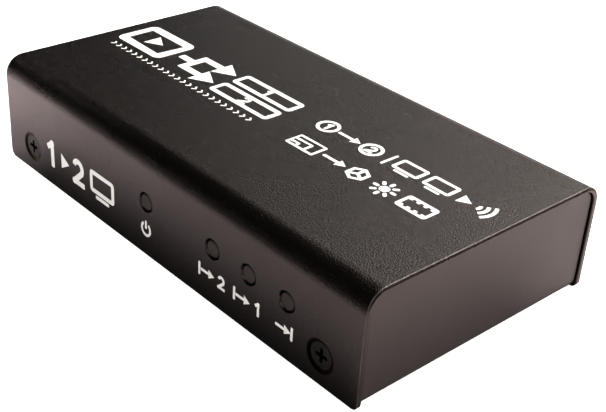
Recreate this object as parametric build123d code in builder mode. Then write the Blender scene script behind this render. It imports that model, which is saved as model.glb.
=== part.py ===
from build123d import *
import os
from math import radians, tan

# A small box that copies one video signal to two screens. All lengths are millimetres.
# X runs along the case, the front with its lights faces -Y, and Z is up from the table.
# The origin is the middle of the underside.

# Case: a folded cover over a folded tray
case_length = 95.0
case_depth = 51.6
case_height = 20.0
sheet = 0.8  # thickness of both folded sheets
cover_bend = 3.5  # outer radius of the cover's two long folds
tray_bend = 2.0  # outer radius of the folds up to the end walls
cover_corner = 1.3  # lower corners of the cover's front and rear
end_inset = 0.4  # the end walls stand back from the cover's ends
side_gap = 0.4  # between the tray's edges and the cover
top_gap = 0.1  # between the end walls and the cover's top
edge_break = 0.12  # a painted edge is never quite sharp
cut_over = 1.0  # how far a cut runs past what it cuts

# Countersunk screws that hold the cover, and the tray's tabs that take them
cover_screw_inset = 8.1  # from the ends of the case
cover_screw_height = 5.0
cover_screw_head = 4.4
cover_screw_thread = 2.5
cover_screw_length = 3.9
cover_screw_rim = 0.1  # the head's straight edge above its cone
cover_screw_sink = 0.25  # the head lies below the cover's face, so its seat shows as a ring
screw_cone_angle = 90
screw_fit = 0.05  # clearance round a screw's head and thread
screw_tip = 0.4  # chamfer at a screw's end
recess_width = 2.7  # across the cross recess
recess_wing = 0.75  # width of one of its arms
recess_depth = 1.0
recess_taper = 8
tab_width = 8.0
tab_height = 9.0
tab_bend = 1.5
tab_corner = 1.6
tab_fit = 0.05  # between a tab and the cover
collar_wall = 0.8  # drawn collar that carries the thread
collar_length = 0.9
relief_width = 0.8  # slots that free a tab before it is folded
relief_run = 0.5

# Circuit board and what holds it
board_thickness = 1.6
board_end_gap = 2.2  # to the end walls
board_side_gap = 1.7  # to the cover's front and rear
board_corner = 0.8
board_tip_gap = 0.8  # to the ends of the cover screws
board_height_share = 0.5  # of the height that leads, board and jack leave free, kept under the leads
standoff_flats = 4.6
standoff_spigot = 4.0  # pressed into the tray's bottom
standoff_press = 0.05
standoff_end_inset = 5.5  # from the board's ends
standoff_side_inset = 7.1  # from the board's front and rear
board_screw_thread = 2.5
board_screw_head = 4.6
board_screw_head_height = 1.6
board_screw_end_gap = 0.6  # from a screw's end to the tray's bottom
board_hole_gap = 0.15
solder_reach = 1.1  # how far leads come out under the board
lead_gap = 0.15  # between a lead and the edge of its hole

# Status lights
light_height = 10.1
light_pitch = 8.7
input_light_inset = 15.7  # from the right end of the case
power_light_offset = 3.2  # left of the middle
light_hole = 3.6
light_recess = 0.12
light_diameter = 3.0
light_length = 5.18
light_flange = 3.9
light_flange_thickness = 1.0
light_dome = 0.3  # rounding of the lens's front edge
light_fit = 0.05
holder_gap = 0.6  # from the holder's front to the cover
holder_width = 4.6
holder_rim = 0.35
light_lead = 0.5
light_lead_spread = 2.54
light_lead_run = 1.6  # behind the holder, before the lead turns down
light_lead_bend = 0.8
light_resistor_run = 1.6  # from the light's leads back to its resistor

# Rear row: free width left of the jack and of each socket, shares of what the rear tabs leave free
rear_gap_shares = (0.15, 0.17, 0.27, 0.27)

# Video sockets
mouth_width = 14.0
mouth_height = 4.55
mouth_base = 10.4  # width along the narrow lower side
mouth_shoulder = 2.05  # height at which the sides turn in
mouth_corner = 0.45
mouth_setback = 0.1  # behind the cover's rear face
aperture_gap = 0.3  # between a shell and the cover
shell_wall = 0.35
shell_length = 11.7
shell_tail_room = 0.75  # behind the insulator, for the contacts' tails
shell_back_lift = 0.7  # the back plate stops above the board
shell_leg_width = 1.4
shell_leg_inset = 2.9  # from the mouth and from the back
finger_width = 2.2  # springs cut out of the shell's top
finger_length = 4.2
finger_slot = 0.3
finger_spread = 6.8
finger_setback = 1.8
insulator_fit = 0.03
insulator_block = 3.2
tongue_width = 11.1
tongue_thickness = 1.05
tongue_setback = 1.2  # behind the mouth
tongue_rise = 0.15  # above the middle of the mouth
tongue_chamfer = 0.2
contact_pitch = 1.0
contact_width = 0.4
contact_thickness = 0.15
contact_setback = 0.6  # behind the tongue's tip
contact_foot = 0.9
contact_fit = 0.02
upper_contacts = 10
lower_contacts = 9

# Power jack
jack_width = 9.0
jack_height = 10.9
jack_length = 14.0
jack_face_depth = 3.4
jack_axis_height = 6.5
jack_setback = 0.15  # behind the cover's inner face
jack_aperture = 8.2
jack_bore = 6.4
jack_bore_depth = 10.2
jack_side_step = 0.5
jack_round = 2.6
jack_pin = 2.0
jack_pin_length = 9.4
jack_pin_tip = 0.6
jack_fit = 0.03
jack_terminal = 0.4
jack_terminal_width = 2.6
jack_spring_width = 2.4
jack_spring_lift = 0.9
jack_spring_inset = 1.6

# Splitter chip, its pad and its heatsink
splitter_size = 10.0
splitter_height = 1.4
splitter_lift = 0.1
splitter_pin_count = 16
splitter_pin_pitch = 0.5
splitter_pin_width = 0.22
pin_thickness = 0.15
pin_foot = 0.6
splitter_pin_reach = 1.0
pad_size = 9.4
pad_thickness = 0.5
sink_size = 14.0
sink_base = 1.4
sink_height = 6.0
sink_fins = 7
sink_fin = 0.9

# Controller and memory chips
controller_length = 6.5
controller_width = 4.4
controller_height = 1.0
controller_pin_count = 10
controller_pin_pitch = 0.65
controller_pin_width = 0.25
memory_length = 4.9
memory_width = 3.9
memory_height = 1.45
memory_pin_count = 4
memory_pin_pitch = 1.27
memory_pin_width = 0.42
small_pin_reach = 1.05

# Voltage regulators
regulator_length = 6.5
regulator_width = 3.5
regulator_height = 1.6
regulator_pin_pitch = 2.3
regulator_pin_width = 0.7
regulator_tab_width = 3.0
regulator_pin_reach = 1.75
regulator_pin_thickness = 0.3

# Crystal, inductors, can capacitors, fuse and diode
crystal_length = 10.8
crystal_width = 4.2
crystal_height = 3.4
crystal_flange = 0.3
crystal_flange_height = 0.5
crystal_round = 0.4
crystal_lead = 0.45
crystal_lead_spread = 4.88
inductor_size = 5.0
inductor_height = 2.4
inductor_corner = 0.9
inductor_round = 0.3
can_diameter = 5.0
can_height = 5.4
can_base_size = 5.3
can_base_height = 0.9
can_base_chamfer = 1.2
can_neck = 0.25
can_neck_width = 0.6
can_round = 0.4
fuse_length = 4.6
fuse_width = 3.2
fuse_height = 0.8
fuse_end = 0.7
diode_length = 4.3
diode_width = 2.6
diode_height = 2.2
diode_lead_thickness = 0.25
diode_lead_width = 1.4
diode_lead_reach = 0.9
package_draft = 8

# Small parts soldered round the chips
capacitor_length = 1.6
capacitor_width = 0.8
capacitor_height = 0.8
capacitor_end = 0.3
capacitor_step = 0.04
resistor_length = 1.6
resistor_width = 0.8
resistor_height = 0.45
array_length = 2.5
array_width = 1.0
array_height = 0.55
array_spread = 6.0

# Where things stand on the board, as shares of its length and depth from its middle
splitter_place_shares = (0.06, -0.06)
controller_place_shares = (0.29, -0.16)
memory_place_shares = (0.29, 0.08)
crystal_place_shares = (0.07, -0.31)
regulator_place_shares = ((-0.16, 0.02), (-0.16, -0.20))
inductor_place_shares = ((-0.26, 0.02), (-0.26, -0.20))
can_place_shares = ((-0.36, -0.12), (-0.35, -0.265), (-0.10, -0.34))
fuse_place_share = (-0.43, 0.16)
diode_place_share = (-0.44, 0.0)
capacitor_place_shares = (
    (-0.05, 0.10), (-0.05, 0.04), (-0.05, -0.02), (-0.05, -0.08), (-0.05, -0.14),
    (0.17, 0.10), (0.17, 0.04), (0.17, -0.02), (0.17, -0.08), (0.17, -0.14), (0.17, -0.20),
    (0.38, 0.12), (0.38, 0.05), (0.38, -0.02), (0.38, -0.09), (-0.33, 0.08), (-0.33, 0.02),
)
resistor_place_shares = (
    (0.22, 0.16), (0.22, 0.08), (0.22, 0.0), (0.22, -0.26), (0.38, -0.20), (0.38, -0.27),
    (-0.10, 0.12), (-0.10, 0.06), (-0.02, -0.24), (0.17, -0.29),
)

# Sizes that follow
half_length = case_length / 2
half_depth = case_depth / 2
tray_length = case_length - 2 * end_inset
tray_depth = case_depth - 2 * (sheet + side_gap)
wall_top = case_height - sheet - top_gap
wall_corner = cover_bend - sheet - side_gap
screw_x = half_length - cover_screw_inset
screw_cone = (cover_screw_head - cover_screw_thread) / 2 / tan(radians(screw_cone_angle / 2))
head_drop = cover_screw_sink + cover_screw_rim
seat_radius = cover_screw_head / 2 + screw_fit + head_drop * tan(radians(screw_cone_angle / 2))
tab_face = half_depth - sheet - tab_fit
board_room = case_height - 2 * sheet - solder_reach - board_thickness - jack_height
standoff_height = solder_reach + board_height_share * board_room
board_bottom = sheet + standoff_height
board_top = board_bottom + board_thickness
board_screw_length = board_top - sheet - board_screw_end_gap
board_length = tray_length - 2 * (sheet + board_end_gap)
board_depth = case_depth - 2 * (sheet + board_side_gap)
standoff_x = board_length / 2 - standoff_end_inset
standoff_y = board_depth / 2 - standoff_side_inset
notch_x = screw_x - tab_width / 2 - board_tip_gap
notch_y = half_depth - cover_screw_sink - cover_screw_length - board_tip_gap
input_light_x = half_length - input_light_inset
light_front = -half_depth + light_recess
light_back = light_front + light_length
light_row = {
    "power": -power_light_offset,
    "output_2": input_light_x - 2 * light_pitch,
    "output_1": input_light_x - light_pitch,
    "input": input_light_x,
}
holder_front = -half_depth + sheet + holder_gap
holder_top = light_height + light_flange / 2 + holder_rim
light_lead_y = light_back + light_lead_run
socket_width = mouth_width + 2 * shell_wall
rear_width = 2 * screw_x - tab_width
rear_spare = rear_width - jack_width - 3 * socket_width
rear_row = []
free_from = -rear_width / 2
for gap_share, width in zip(rear_gap_shares, (jack_width, socket_width, socket_width, socket_width)):
    rear_row.append(free_from + gap_share * rear_spare + width / 2)
    free_from = rear_row[-1] + width / 2
jack_x = rear_row[0]
socket_row = {"input": rear_row[3], "output_1": rear_row[2], "output_2": rear_row[1]}
mouth_y = half_depth - mouth_setback
mouth_z = board_top + shell_wall + mouth_height / 2
shell_back = mouth_y - shell_length
block_back = shell_back + shell_wall + shell_tail_room
block_front = block_back + insulator_block
tongue_tip = mouth_y - tongue_setback
tongue_z = mouth_z + tongue_rise
contact_start = tongue_tip - contact_setback
contact_drop_y = block_back - contact_fit - contact_thickness / 2
contact_rise = (tongue_thickness - contact_thickness) / 2
leg_x = mouth_width / 2 + shell_wall / 2
leg_rows = (mouth_y - shell_leg_inset, shell_back + shell_leg_inset)
jack_face = half_depth - sheet - jack_setback
jack_back = jack_face - jack_length
jack_z = board_top + jack_axis_height
crystal_place = (crystal_place_shares[0] * board_length, crystal_place_shares[1] * board_depth)
splitter_place = (splitter_place_shares[0] * board_length, splitter_place_shares[1] * board_depth)
splitter_top = board_top + splitter_lift + splitter_height

os.makedirs("parts", exist_ok=True)


def on_board(shares, height=board_top):
    """A point on the board, from its shares of the board's length and depth."""
    return (shares[0] * board_length, shares[1] * board_depth, height)


def folded_section(width, height, bend):
    """The end view of one sheet folded down on both sides, standing on its lower edges."""
    with BuildSketch() as section:
        with BuildLine():
            FilletPolyline(
                (-width / 2, 0), (-width / 2, height), (width / 2, height), (width / 2, 0),
                radius=bend,
            )
            offset(amount=sheet, side=Side.RIGHT)
        make_face()
    return section.sketch


def screw_planes(side):
    """Where the two cover screws of one side stand, heads outwards."""
    return [
        Plane(origin=(x, side * half_depth, cover_screw_height), z_dir=(0, side, 0))
        for x in (-screw_x, screw_x)
    ]


def mouth_outline(grow):
    """The plug's outline: a rectangle with its lower corners cut back, grown all round."""
    top = mouth_height / 2
    shoulder = mouth_shoulder - top
    with BuildSketch() as outline:
        with BuildLine():
            Polyline(
                (-mouth_width / 2, top), (mouth_width / 2, top), (mouth_width / 2, shoulder),
                (mouth_base / 2, -top), (-mouth_base / 2, -top), (-mouth_width / 2, shoulder),
                close=True,
            )
        make_face()
        fillet(outline.vertices(), mouth_corner)
        if grow:
            offset(amount=grow)
    return outline.sketch


def mouth_plane(y):
    """An upright plane across a socket, with its middle at the mouth's height."""
    return Plane(origin=(0, y, mouth_z), x_dir=(1, 0, 0), z_dir=(0, -1, 0))


def gull_lead(start, drop, reach, thickness, width):
    """A chip's lead: out from its side, down, and along the board, towards +X."""
    knee = (reach - pin_foot) / 2
    with BuildPart() as lead:
        with BuildSketch(Plane.XZ):
            with BuildLine():
                Polyline(
                    (start, drop), (start + knee, drop),
                    (start + reach - pin_foot, thickness / 2), (start + reach, thickness / 2),
                )
            trace(line_width=thickness)
        extrude(amount=width / 2, both=True)
    return lead.part


def chip_body(length, width, height, lift):
    """A moulded chip whose sides lean in above and below its middle."""
    with BuildPart() as body:
        for direction in (1, -1):
            with BuildSketch(Plane.XY.offset(lift + height / 2)):
                Rectangle(length, width)
            extrude(amount=direction * height / 2, taper=package_draft)
    return body.part


def end_capped_block(length, width, height, end, step):
    """A small soldered part: a block between two slightly larger metal ends."""
    with BuildPart() as block:
        Box(length, width - 2 * step, height - step, align=(Align.CENTER, Align.CENTER, Align.MIN))
        with GridLocations(length - end, 0, 2, 1):
            Box(end, width, height, align=(Align.CENTER, Align.CENTER, Align.MIN))
    return block.part


def contact_row(middle, count):
    """Where a row of contacts stands along the case."""
    return [middle + (i - (count - 1) / 2) * contact_pitch for i in range(count)]


def socket_contact(rise):
    """A contact at the middle of a socket: along its tongue, down behind it, and out on the board."""
    with BuildPart() as contact:
        with BuildSketch(Plane.YZ):
            with BuildLine():
                Polyline(
                    (contact_start, tongue_z + rise),
                    (contact_drop_y, tongue_z + rise),
                    (contact_drop_y, board_top + contact_thickness / 2),
                    (contact_drop_y - contact_foot, board_top + contact_thickness / 2),
                )
            trace(line_width=contact_thickness)
        extrude(amount=contact_width / 2, both=True)
    return contact.part


# Cover: top, front and rear in one sheet
with BuildPart() as top_cover:
    with BuildSketch(Plane.YZ):
        add(folded_section(case_depth, case_height, cover_bend))
    extrude(amount=half_length, both=True)
    fillet(top_cover.edges().filter_by(Axis.Y).group_by(Axis.Z)[0], cover_corner)
    ends = top_cover.faces().filter_by(Axis.X)
    fillet(ends.edges(), edge_break)
    with BuildSketch(Plane.XZ.offset(half_depth)):
        for x in light_row.values():
            with Locations((x, light_height)):
                Circle(light_hole / 2)
    extrude(amount=-2 * sheet, mode=Mode.SUBTRACT)
    for side in (-1, 1):
        with Locations(screw_planes(side)):
            CounterSinkHole(
                cover_screw_thread / 2 + screw_fit,
                seat_radius,
                depth=2 * sheet,
                counter_sink_angle=screw_cone_angle,
            )
    with BuildSketch(mouth_plane(half_depth)):
        for x in socket_row.values():
            with Locations((x, 0)):
                add(mouth_outline(shell_wall + aperture_gap))
    extrude(amount=2 * sheet, mode=Mode.SUBTRACT)
    with BuildSketch(Plane.XZ.offset(-half_depth)):
        with Locations((jack_x, jack_z)):
            Circle(jack_aperture / 2)
    extrude(amount=2 * sheet, mode=Mode.SUBTRACT)
    front_rims = top_cover.edges().filter_by(GeomType.CIRCLE).group_by(Axis.Y)[0]
    fillet(front_rims, edge_break)
top_cover.part.label = "top_cover"
export_step(top_cover.part, "parts/top_cover.step")

# Tray: bottom and both end walls in one sheet, with a tab at each corner for a cover screw
with BuildPart() as base_tray:
    with BuildSketch(Plane.XZ):
        with Locations(Location((0, wall_top), 180)):
            add(folded_section(tray_length, wall_top, tray_bend))
    extrude(amount=tray_depth / 2, both=True)
    fillet(base_tray.edges().filter_by(Axis.X).group_by(Axis.Z)[-1], wall_corner)
    outer_walls = base_tray.faces().filter_by(Axis.X).sort_by(Axis.X)[0::3]
    fillet(outer_walls.edges().group_by(Axis.Z)[1:], edge_break)
    relief_depth = tray_depth / 2 - (tab_face - tab_bend) + relief_run
    with Locations((0, 0, sheet / 2)):
        with GridLocations(2 * screw_x, tray_depth - relief_depth, 2, 2):
            with GridLocations(tab_width + relief_width, 0, 2, 1):
                Box(relief_width, relief_depth + 2 * edge_break, 2 * sheet, mode=Mode.SUBTRACT)
    for side in (-1, 1):
        for x in (-screw_x, screw_x):
            with BuildSketch(Plane.YZ.offset(x)):
                with BuildLine():
                    FilletPolyline(
                        (side * (tray_depth / 2 - relief_depth), 0),
                        (side * tab_face, 0),
                        (side * tab_face, tab_height),
                        radius=tab_bend,
                    )
                    offset(amount=sheet, side=Side.LEFT if side > 0 else Side.RIGHT)
                make_face()
            extrude(amount=tab_width / 2, both=True)
            with BuildSketch(Plane.XZ.offset(-side * (tab_face - sheet))):
                with Locations((x, cover_screw_height)):
                    Circle(cover_screw_thread / 2 + collar_wall)
            extrude(amount=side * collar_length)
        with Locations(screw_planes(side)):
            CounterSinkHole(
                cover_screw_thread / 2 + screw_fit,
                seat_radius,
                depth=cover_screw_length + cut_over,
                counter_sink_angle=screw_cone_angle,
            )
    tab_tops = base_tray.edges().filter_by(Axis.Y).filter_by_position(
        Axis.Z, tab_height - edge_break, tab_height + edge_break
    )
    fillet(tab_tops, tab_corner)
    with GridLocations(2 * standoff_x, 2 * standoff_y, 2, 2):
        Hole(standoff_spigot / 2 + standoff_press, depth=2 * sheet)
base_tray.part.label = "base_tray"
export_step(base_tray.part, "parts/base_tray.step")

# One countersunk cover screw, its head's face at the cover's face plane, thread downwards
with BuildPart() as countersunk_screw:
    with BuildSketch(Plane.XZ):
        with BuildLine():
            Polyline(
                (0, -cover_screw_sink),
                (cover_screw_head / 2, -cover_screw_sink),
                (cover_screw_head / 2, -head_drop),
                (cover_screw_thread / 2, -head_drop - screw_cone),
                (cover_screw_thread / 2, screw_tip - cover_screw_sink - cover_screw_length),
                (cover_screw_thread / 2 - screw_tip, -cover_screw_sink - cover_screw_length),
                (0, -cover_screw_sink - cover_screw_length),
                close=True,
            )
        make_face()
    revolve(axis=Axis.Z)
    with BuildSketch(Plane.XY):
        with PolarLocations(0, 2, angular_range=180):
            SlotOverall(recess_width, recess_wing)
    extrude(amount=-cover_screw_sink - recess_depth, taper=recess_taper, mode=Mode.SUBTRACT)

with BuildPart() as front_cover_screws:
    with Locations(screw_planes(-1)):
        add(countersunk_screw.part)
front_cover_screws.part.label = "front_cover_screws"
export_step(front_cover_screws.part, "parts/front_cover_screws.step")

with BuildPart() as rear_cover_screws:
    with Locations(screw_planes(1)):
        add(countersunk_screw.part)
rear_cover_screws.part.label = "rear_cover_screws"
export_step(rear_cover_screws.part, "parts/rear_cover_screws.step")

# Board: glass-fibre sheet, notched clear of the tabs
with BuildPart() as circuit_board:
    with BuildSketch(Plane.XY.offset(board_bottom)):
        Rectangle(board_length, board_depth)
        with GridLocations(board_length + 2 * notch_x, board_depth + 2 * notch_y, 2, 2):
            Rectangle(board_length, board_depth, mode=Mode.SUBTRACT)
    extrude(amount=board_thickness)
    fillet(circuit_board.edges().filter_by(Axis.Z), board_corner)
    with BuildSketch(Plane.XY.offset(board_bottom)):
        with GridLocations(2 * standoff_x, 2 * standoff_y, 2, 2):
            Circle(board_screw_thread / 2 + board_hole_gap)
        for x in light_row.values():
            with Locations((x, light_lead_y)):
                with GridLocations(light_lead_spread, 0, 2, 1):
                    Circle(light_lead / 2 + 2 * lead_gap)
        for x in socket_row.values():
            for y in leg_rows:
                with Locations((x, y)):
                    with GridLocations(2 * leg_x, 0, 2, 1):
                        RectangleRounded(
                            shell_wall + 4 * lead_gap, shell_leg_width + 2 * lead_gap, lead_gap
                        )
        with Locations((jack_x, jack_back)):
            Rectangle(jack_terminal_width + 2 * lead_gap, 2 * (jack_terminal + jack_fit + lead_gap))
        with Locations((jack_x, jack_face - jack_face_depth - jack_spring_inset)):
            Rectangle(jack_spring_width + 2 * lead_gap, jack_terminal + 2 * lead_gap)
        with Locations(crystal_place):
            with GridLocations(crystal_lead_spread, 0, 2, 1):
                Circle(crystal_lead / 2 + lead_gap)
    extrude(amount=board_thickness, mode=Mode.SUBTRACT)
circuit_board.part.label = "circuit_board"
export_step(circuit_board.part, "parts/circuit_board.step")

# Standoffs pressed into the tray's bottom
with BuildPart() as board_standoffs:
    with BuildSketch(Plane.XY.offset(sheet)):
        with GridLocations(2 * standoff_x, 2 * standoff_y, 2, 2):
            RegularPolygon(standoff_flats / 2, 6, major_radius=False)
    extrude(amount=standoff_height)
    with BuildSketch(Plane.XY.offset(standoff_press)):
        with GridLocations(2 * standoff_x, 2 * standoff_y, 2, 2):
            Circle(standoff_spigot / 2)
    extrude(amount=sheet)
    with Locations(Plane.XY.offset(board_bottom)):
        with GridLocations(2 * standoff_x, 2 * standoff_y, 2, 2):
            Hole(board_screw_thread / 2 + screw_fit, depth=standoff_height)
board_standoffs.part.label = "board_standoffs"
export_step(board_standoffs.part, "parts/board_standoffs.step")

# Pan-head screws that hold the board down
with BuildPart() as board_screws:
    with BuildSketch(Plane.XY.offset(board_top)):
        with GridLocations(2 * standoff_x, 2 * standoff_y, 2, 2):
            Circle(board_screw_head / 2)
    extrude(amount=board_screw_head_height)
    fillet(board_screws.edges().group_by(Axis.Z)[-1], board_screw_head_height / 2)
    with BuildSketch(Plane.XY.offset(board_top)):
        with GridLocations(2 * standoff_x, 2 * standoff_y, 2, 2):
            Circle(board_screw_thread / 2)
    extrude(amount=-board_screw_length)
    chamfer(board_screws.edges().group_by(Axis.Z)[0], screw_tip)
    with BuildSketch(Plane.XY.offset(board_top + board_screw_head_height)):
        with GridLocations(2 * standoff_x, 2 * standoff_y, 2, 2):
            with PolarLocations(0, 2, angular_range=180):
                SlotOverall(recess_width * board_screw_head / cover_screw_head, recess_wing)
    extrude(amount=-recess_depth, taper=recess_taper, mode=Mode.SUBTRACT)
board_screws.part.label = "board_screws"
export_step(board_screws.part, "parts/board_screws.step")

# Status lights, each in its own holder on the board
for light_name, x in light_row.items():
    with BuildPart() as status_light:
        with BuildSketch(Plane.XZ.offset(-light_front)):
            with Locations((x, light_height)):
                Circle(light_diameter / 2)
        extrude(amount=-light_length)
        fillet(status_light.edges().group_by(Axis.Y)[0], light_dome)
        with BuildSketch(Plane.XZ.offset(-light_back)):
            with Locations((x, light_height)):
                Circle(light_flange / 2)
        extrude(amount=light_flange_thickness)
    status_light.part.label = light_name + "_light"
    export_step(status_light.part, "parts/" + status_light.part.label + ".step")

with BuildPart() as light_holders:
    with BuildSketch(Plane.XZ.offset(-holder_front)):
        for x in light_row.values():
            with Locations((x, (board_top + holder_top) / 2)):
                Rectangle(holder_width, holder_top - board_top)
    extrude(amount=holder_front - light_back)
    fillet(light_holders.edges().filter_by(Axis.Y).group_by(Axis.Z)[-1], holder_rim)
    with BuildSketch(Plane.XZ.offset(-holder_front)):
        for x in light_row.values():
            with Locations((x, light_height)):
                Circle(light_diameter / 2 + light_fit)
    extrude(amount=holder_front - light_back, mode=Mode.SUBTRACT)
    with BuildSketch(Plane.XZ.offset(-light_back)):
        for x in light_row.values():
            with Locations((x, light_height)):
                Circle(light_flange / 2 + light_fit)
    extrude(amount=light_flange_thickness + light_fit, mode=Mode.SUBTRACT)
light_holders.part.label = "light_holders"
export_step(light_holders.part, "parts/light_holders.step")

with BuildPart() as light_leads:
    for x in light_row.values():
        for lead_side in (-1, 1):
            with BuildSketch(Plane.YZ.offset(x + lead_side * light_lead_spread / 2)):
                with BuildLine():
                    FilletPolyline(
                        (light_back, light_height),
                        (light_lead_y, light_height),
                        (light_lead_y, board_bottom - solder_reach),
                        radius=light_lead_bend,
                    )
                trace(line_width=light_lead)
            extrude(amount=light_lead / 2, both=True)
light_leads.part.label = "light_leads"
export_step(light_leads.part, "parts/light_leads.step")

# Video sockets: a folded shell, a moulded insulator with its tongue, and two rows of contacts
upper_contact = socket_contact(contact_rise)
lower_contact = socket_contact(-contact_rise)
for socket_name, x in socket_row.items():
    with BuildPart() as socket_shell:
        with BuildSketch(mouth_plane(mouth_y)):
            with Locations((x, 0)):
                add(mouth_outline(shell_wall))
        extrude(amount=shell_length)
        with BuildSketch(mouth_plane(mouth_y)):
            with Locations((x, 0)):
                add(mouth_outline(0))
        extrude(amount=shell_length - shell_wall, mode=Mode.SUBTRACT)
        with BuildSketch(Plane.XY.offset(board_top)):
            with Locations((x, (block_back + shell_back - cut_over) / 2)):
                Rectangle(mouth_width, block_back - shell_back + cut_over)
        extrude(amount=shell_back_lift, mode=Mode.SUBTRACT)
        with BuildSketch(Plane.XY.offset(mouth_z + mouth_height / 2)):
            for finger_x in (x - finger_spread / 2, x + finger_spread / 2):
                with Locations((finger_x, mouth_y - finger_setback)):
                    Rectangle(finger_width, finger_length, align=(Align.CENTER, Align.MAX))
                    Rectangle(
                        finger_width - 2 * finger_slot,
                        finger_length - finger_slot,
                        align=(Align.CENTER, Align.MAX),
                        mode=Mode.SUBTRACT,
                    )
        extrude(amount=shell_wall, mode=Mode.SUBTRACT)
        for y in leg_rows:
            with BuildSketch(Plane.XY.offset(mouth_z)):
                with Locations((x, y)):
                    with GridLocations(2 * leg_x, 0, 2, 1):
                        Rectangle(shell_wall, shell_leg_width)
            extrude(amount=board_bottom - solder_reach - mouth_z)
    socket_shell.part.label = socket_name + "_socket_shell"
    export_step(socket_shell.part, "parts/" + socket_shell.part.label + ".step")

    upper_row = contact_row(x, upper_contacts)
    lower_row = contact_row(x, lower_contacts)
    rows = ((upper_row, contact_rise), (lower_row, -contact_rise))
    with BuildPart() as socket_insulator:
        with BuildSketch(mouth_plane(block_front)):
            with Locations((x, 0)):
                add(mouth_outline(-insulator_fit))
        extrude(amount=insulator_block)
        with BuildSketch(mouth_plane(tongue_tip)):
            with Locations((x, tongue_rise)):
                Rectangle(tongue_width, tongue_thickness)
        extrude(amount=tongue_tip - block_front)
        tip_edges = socket_insulator.faces().sort_by(Axis.Y)[-1].edges()
        chamfer(tip_edges, tongue_chamfer)
        with BuildSketch(mouth_plane(contact_start + contact_fit)):
            for row, rise in rows:
                for contact_x in row:
                    with Locations((contact_x, tongue_rise + rise)):
                        Rectangle(contact_width + 2 * contact_fit, contact_thickness + 2 * contact_fit)
        extrude(amount=contact_start + contact_fit - block_back, mode=Mode.SUBTRACT)
    socket_insulator.part.label = socket_name + "_socket_insulator"
    export_step(socket_insulator.part, "parts/" + socket_insulator.part.label + ".step")

    with BuildPart() as socket_contacts:
        with Locations([(contact_x, 0, 0) for contact_x in upper_row]):
            add(upper_contact)
        with Locations([(contact_x, 0, 0) for contact_x in lower_row]):
            add(lower_contact)
    socket_contacts.part.label = socket_name + "_socket_contacts"
    export_step(socket_contacts.part, "parts/" + socket_contacts.part.label + ".step")

# Power jack: moulded body, centre pin, and a spring that presses on the plug's sleeve
with BuildPart() as power_jack_body:
    with BuildSketch(Plane.XY.offset(board_top)):
        with Locations((jack_x, jack_face)):
            Rectangle(jack_width, jack_face_depth, align=(Align.CENTER, Align.MAX))
    extrude(amount=jack_height)
    with BuildSketch(Plane.XZ.offset(jack_face_depth - jack_face)) as barrel:
        with Locations((jack_x, board_top)):
            Rectangle(
                jack_width - 2 * jack_side_step,
                jack_height - jack_side_step,
                align=(Align.CENTER, Align.MIN),
            )
        fillet(barrel.vertices().group_by(Axis.Y)[-1], jack_round)
    extrude(amount=jack_length - jack_face_depth)
    with Locations(Plane(origin=(jack_x, jack_face, jack_z), z_dir=(0, 1, 0))):
        Hole(jack_bore / 2, depth=jack_bore_depth)
        Hole(jack_pin / 2 + jack_fit, depth=jack_length)
    with BuildSketch(Plane.XZ.offset(jack_face_depth - jack_face)):
        with Locations((jack_x, board_top)):
            Rectangle(jack_spring_width + 2 * jack_fit, 2 * jack_axis_height)
    extrude(amount=jack_bore_depth - jack_face_depth, mode=Mode.SUBTRACT)
    with BuildSketch(Plane.XY.offset(board_top)):
        with Locations((jack_x, jack_back)):
            Rectangle(jack_terminal_width + 2 * jack_fit, 2 * (jack_terminal + jack_fit))
    extrude(amount=jack_axis_height + jack_pin, mode=Mode.SUBTRACT)
power_jack_body.part.label = "power_jack_body"
export_step(power_jack_body.part, "parts/power_jack_body.step")

with BuildPart() as power_jack_pin:
    with Locations(Plane(origin=(jack_x, jack_back + jack_terminal, jack_z), z_dir=(0, 1, 0))):
        Cylinder(
            jack_pin / 2,
            jack_length - jack_bore_depth + jack_pin_length - jack_terminal,
            align=(Align.CENTER, Align.CENTER, Align.MIN),
        )
    fillet(power_jack_pin.edges().sort_by(Axis.Y)[-1], jack_pin_tip)
    with BuildSketch(Plane.XZ.offset(-jack_back - jack_terminal)):
        with Locations((jack_x, board_bottom - solder_reach)):
            Rectangle(
                jack_terminal_width,
                jack_z + jack_pin / 2 - board_bottom + solder_reach,
                align=(Align.CENTER, Align.MIN),
            )
    extrude(amount=jack_terminal)
power_jack_pin.part.label = "power_jack_pin"
export_step(power_jack_pin.part, "parts/power_jack_pin.step")

with BuildPart() as power_jack_spring:
    spring_foot_y = jack_face - jack_face_depth - jack_spring_inset
    with BuildSketch(Plane.YZ.offset(jack_x)):
        with BuildLine():
            Polyline(
                (spring_foot_y, board_bottom - solder_reach),
                (spring_foot_y, board_top + jack_spring_lift),
                (jack_face - jack_bore_depth + jack_terminal, board_top + 2 * jack_spring_lift),
            )
        trace(line_width=jack_terminal)
    extrude(amount=jack_spring_width / 2, both=True)
power_jack_spring.part.label = "power_jack_spring"
export_step(power_jack_spring.part, "parts/power_jack_spring.step")

# Splitter chip, with its heatsink on a soft pad
with BuildPart() as splitter_chip:
    with Locations((*splitter_place, board_top)):
        add(chip_body(splitter_size, splitter_size, splitter_height, splitter_lift))
splitter_chip.part.label = "splitter_chip"
export_step(splitter_chip.part, "parts/splitter_chip.step")

splitter_lead = gull_lead(
    splitter_size / 2,
    splitter_lift + splitter_height / 2,
    splitter_pin_reach,
    pin_thickness,
    splitter_pin_width,
)
with BuildPart() as splitter_chip_leads:
    with Locations((*splitter_place, board_top)):
        with PolarLocations(0, 4):
            with GridLocations(0, splitter_pin_pitch, 1, splitter_pin_count):
                add(splitter_lead)
splitter_chip_leads.part.label = "splitter_chip_leads"
export_step(splitter_chip_leads.part, "parts/splitter_chip_leads.step")

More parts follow.
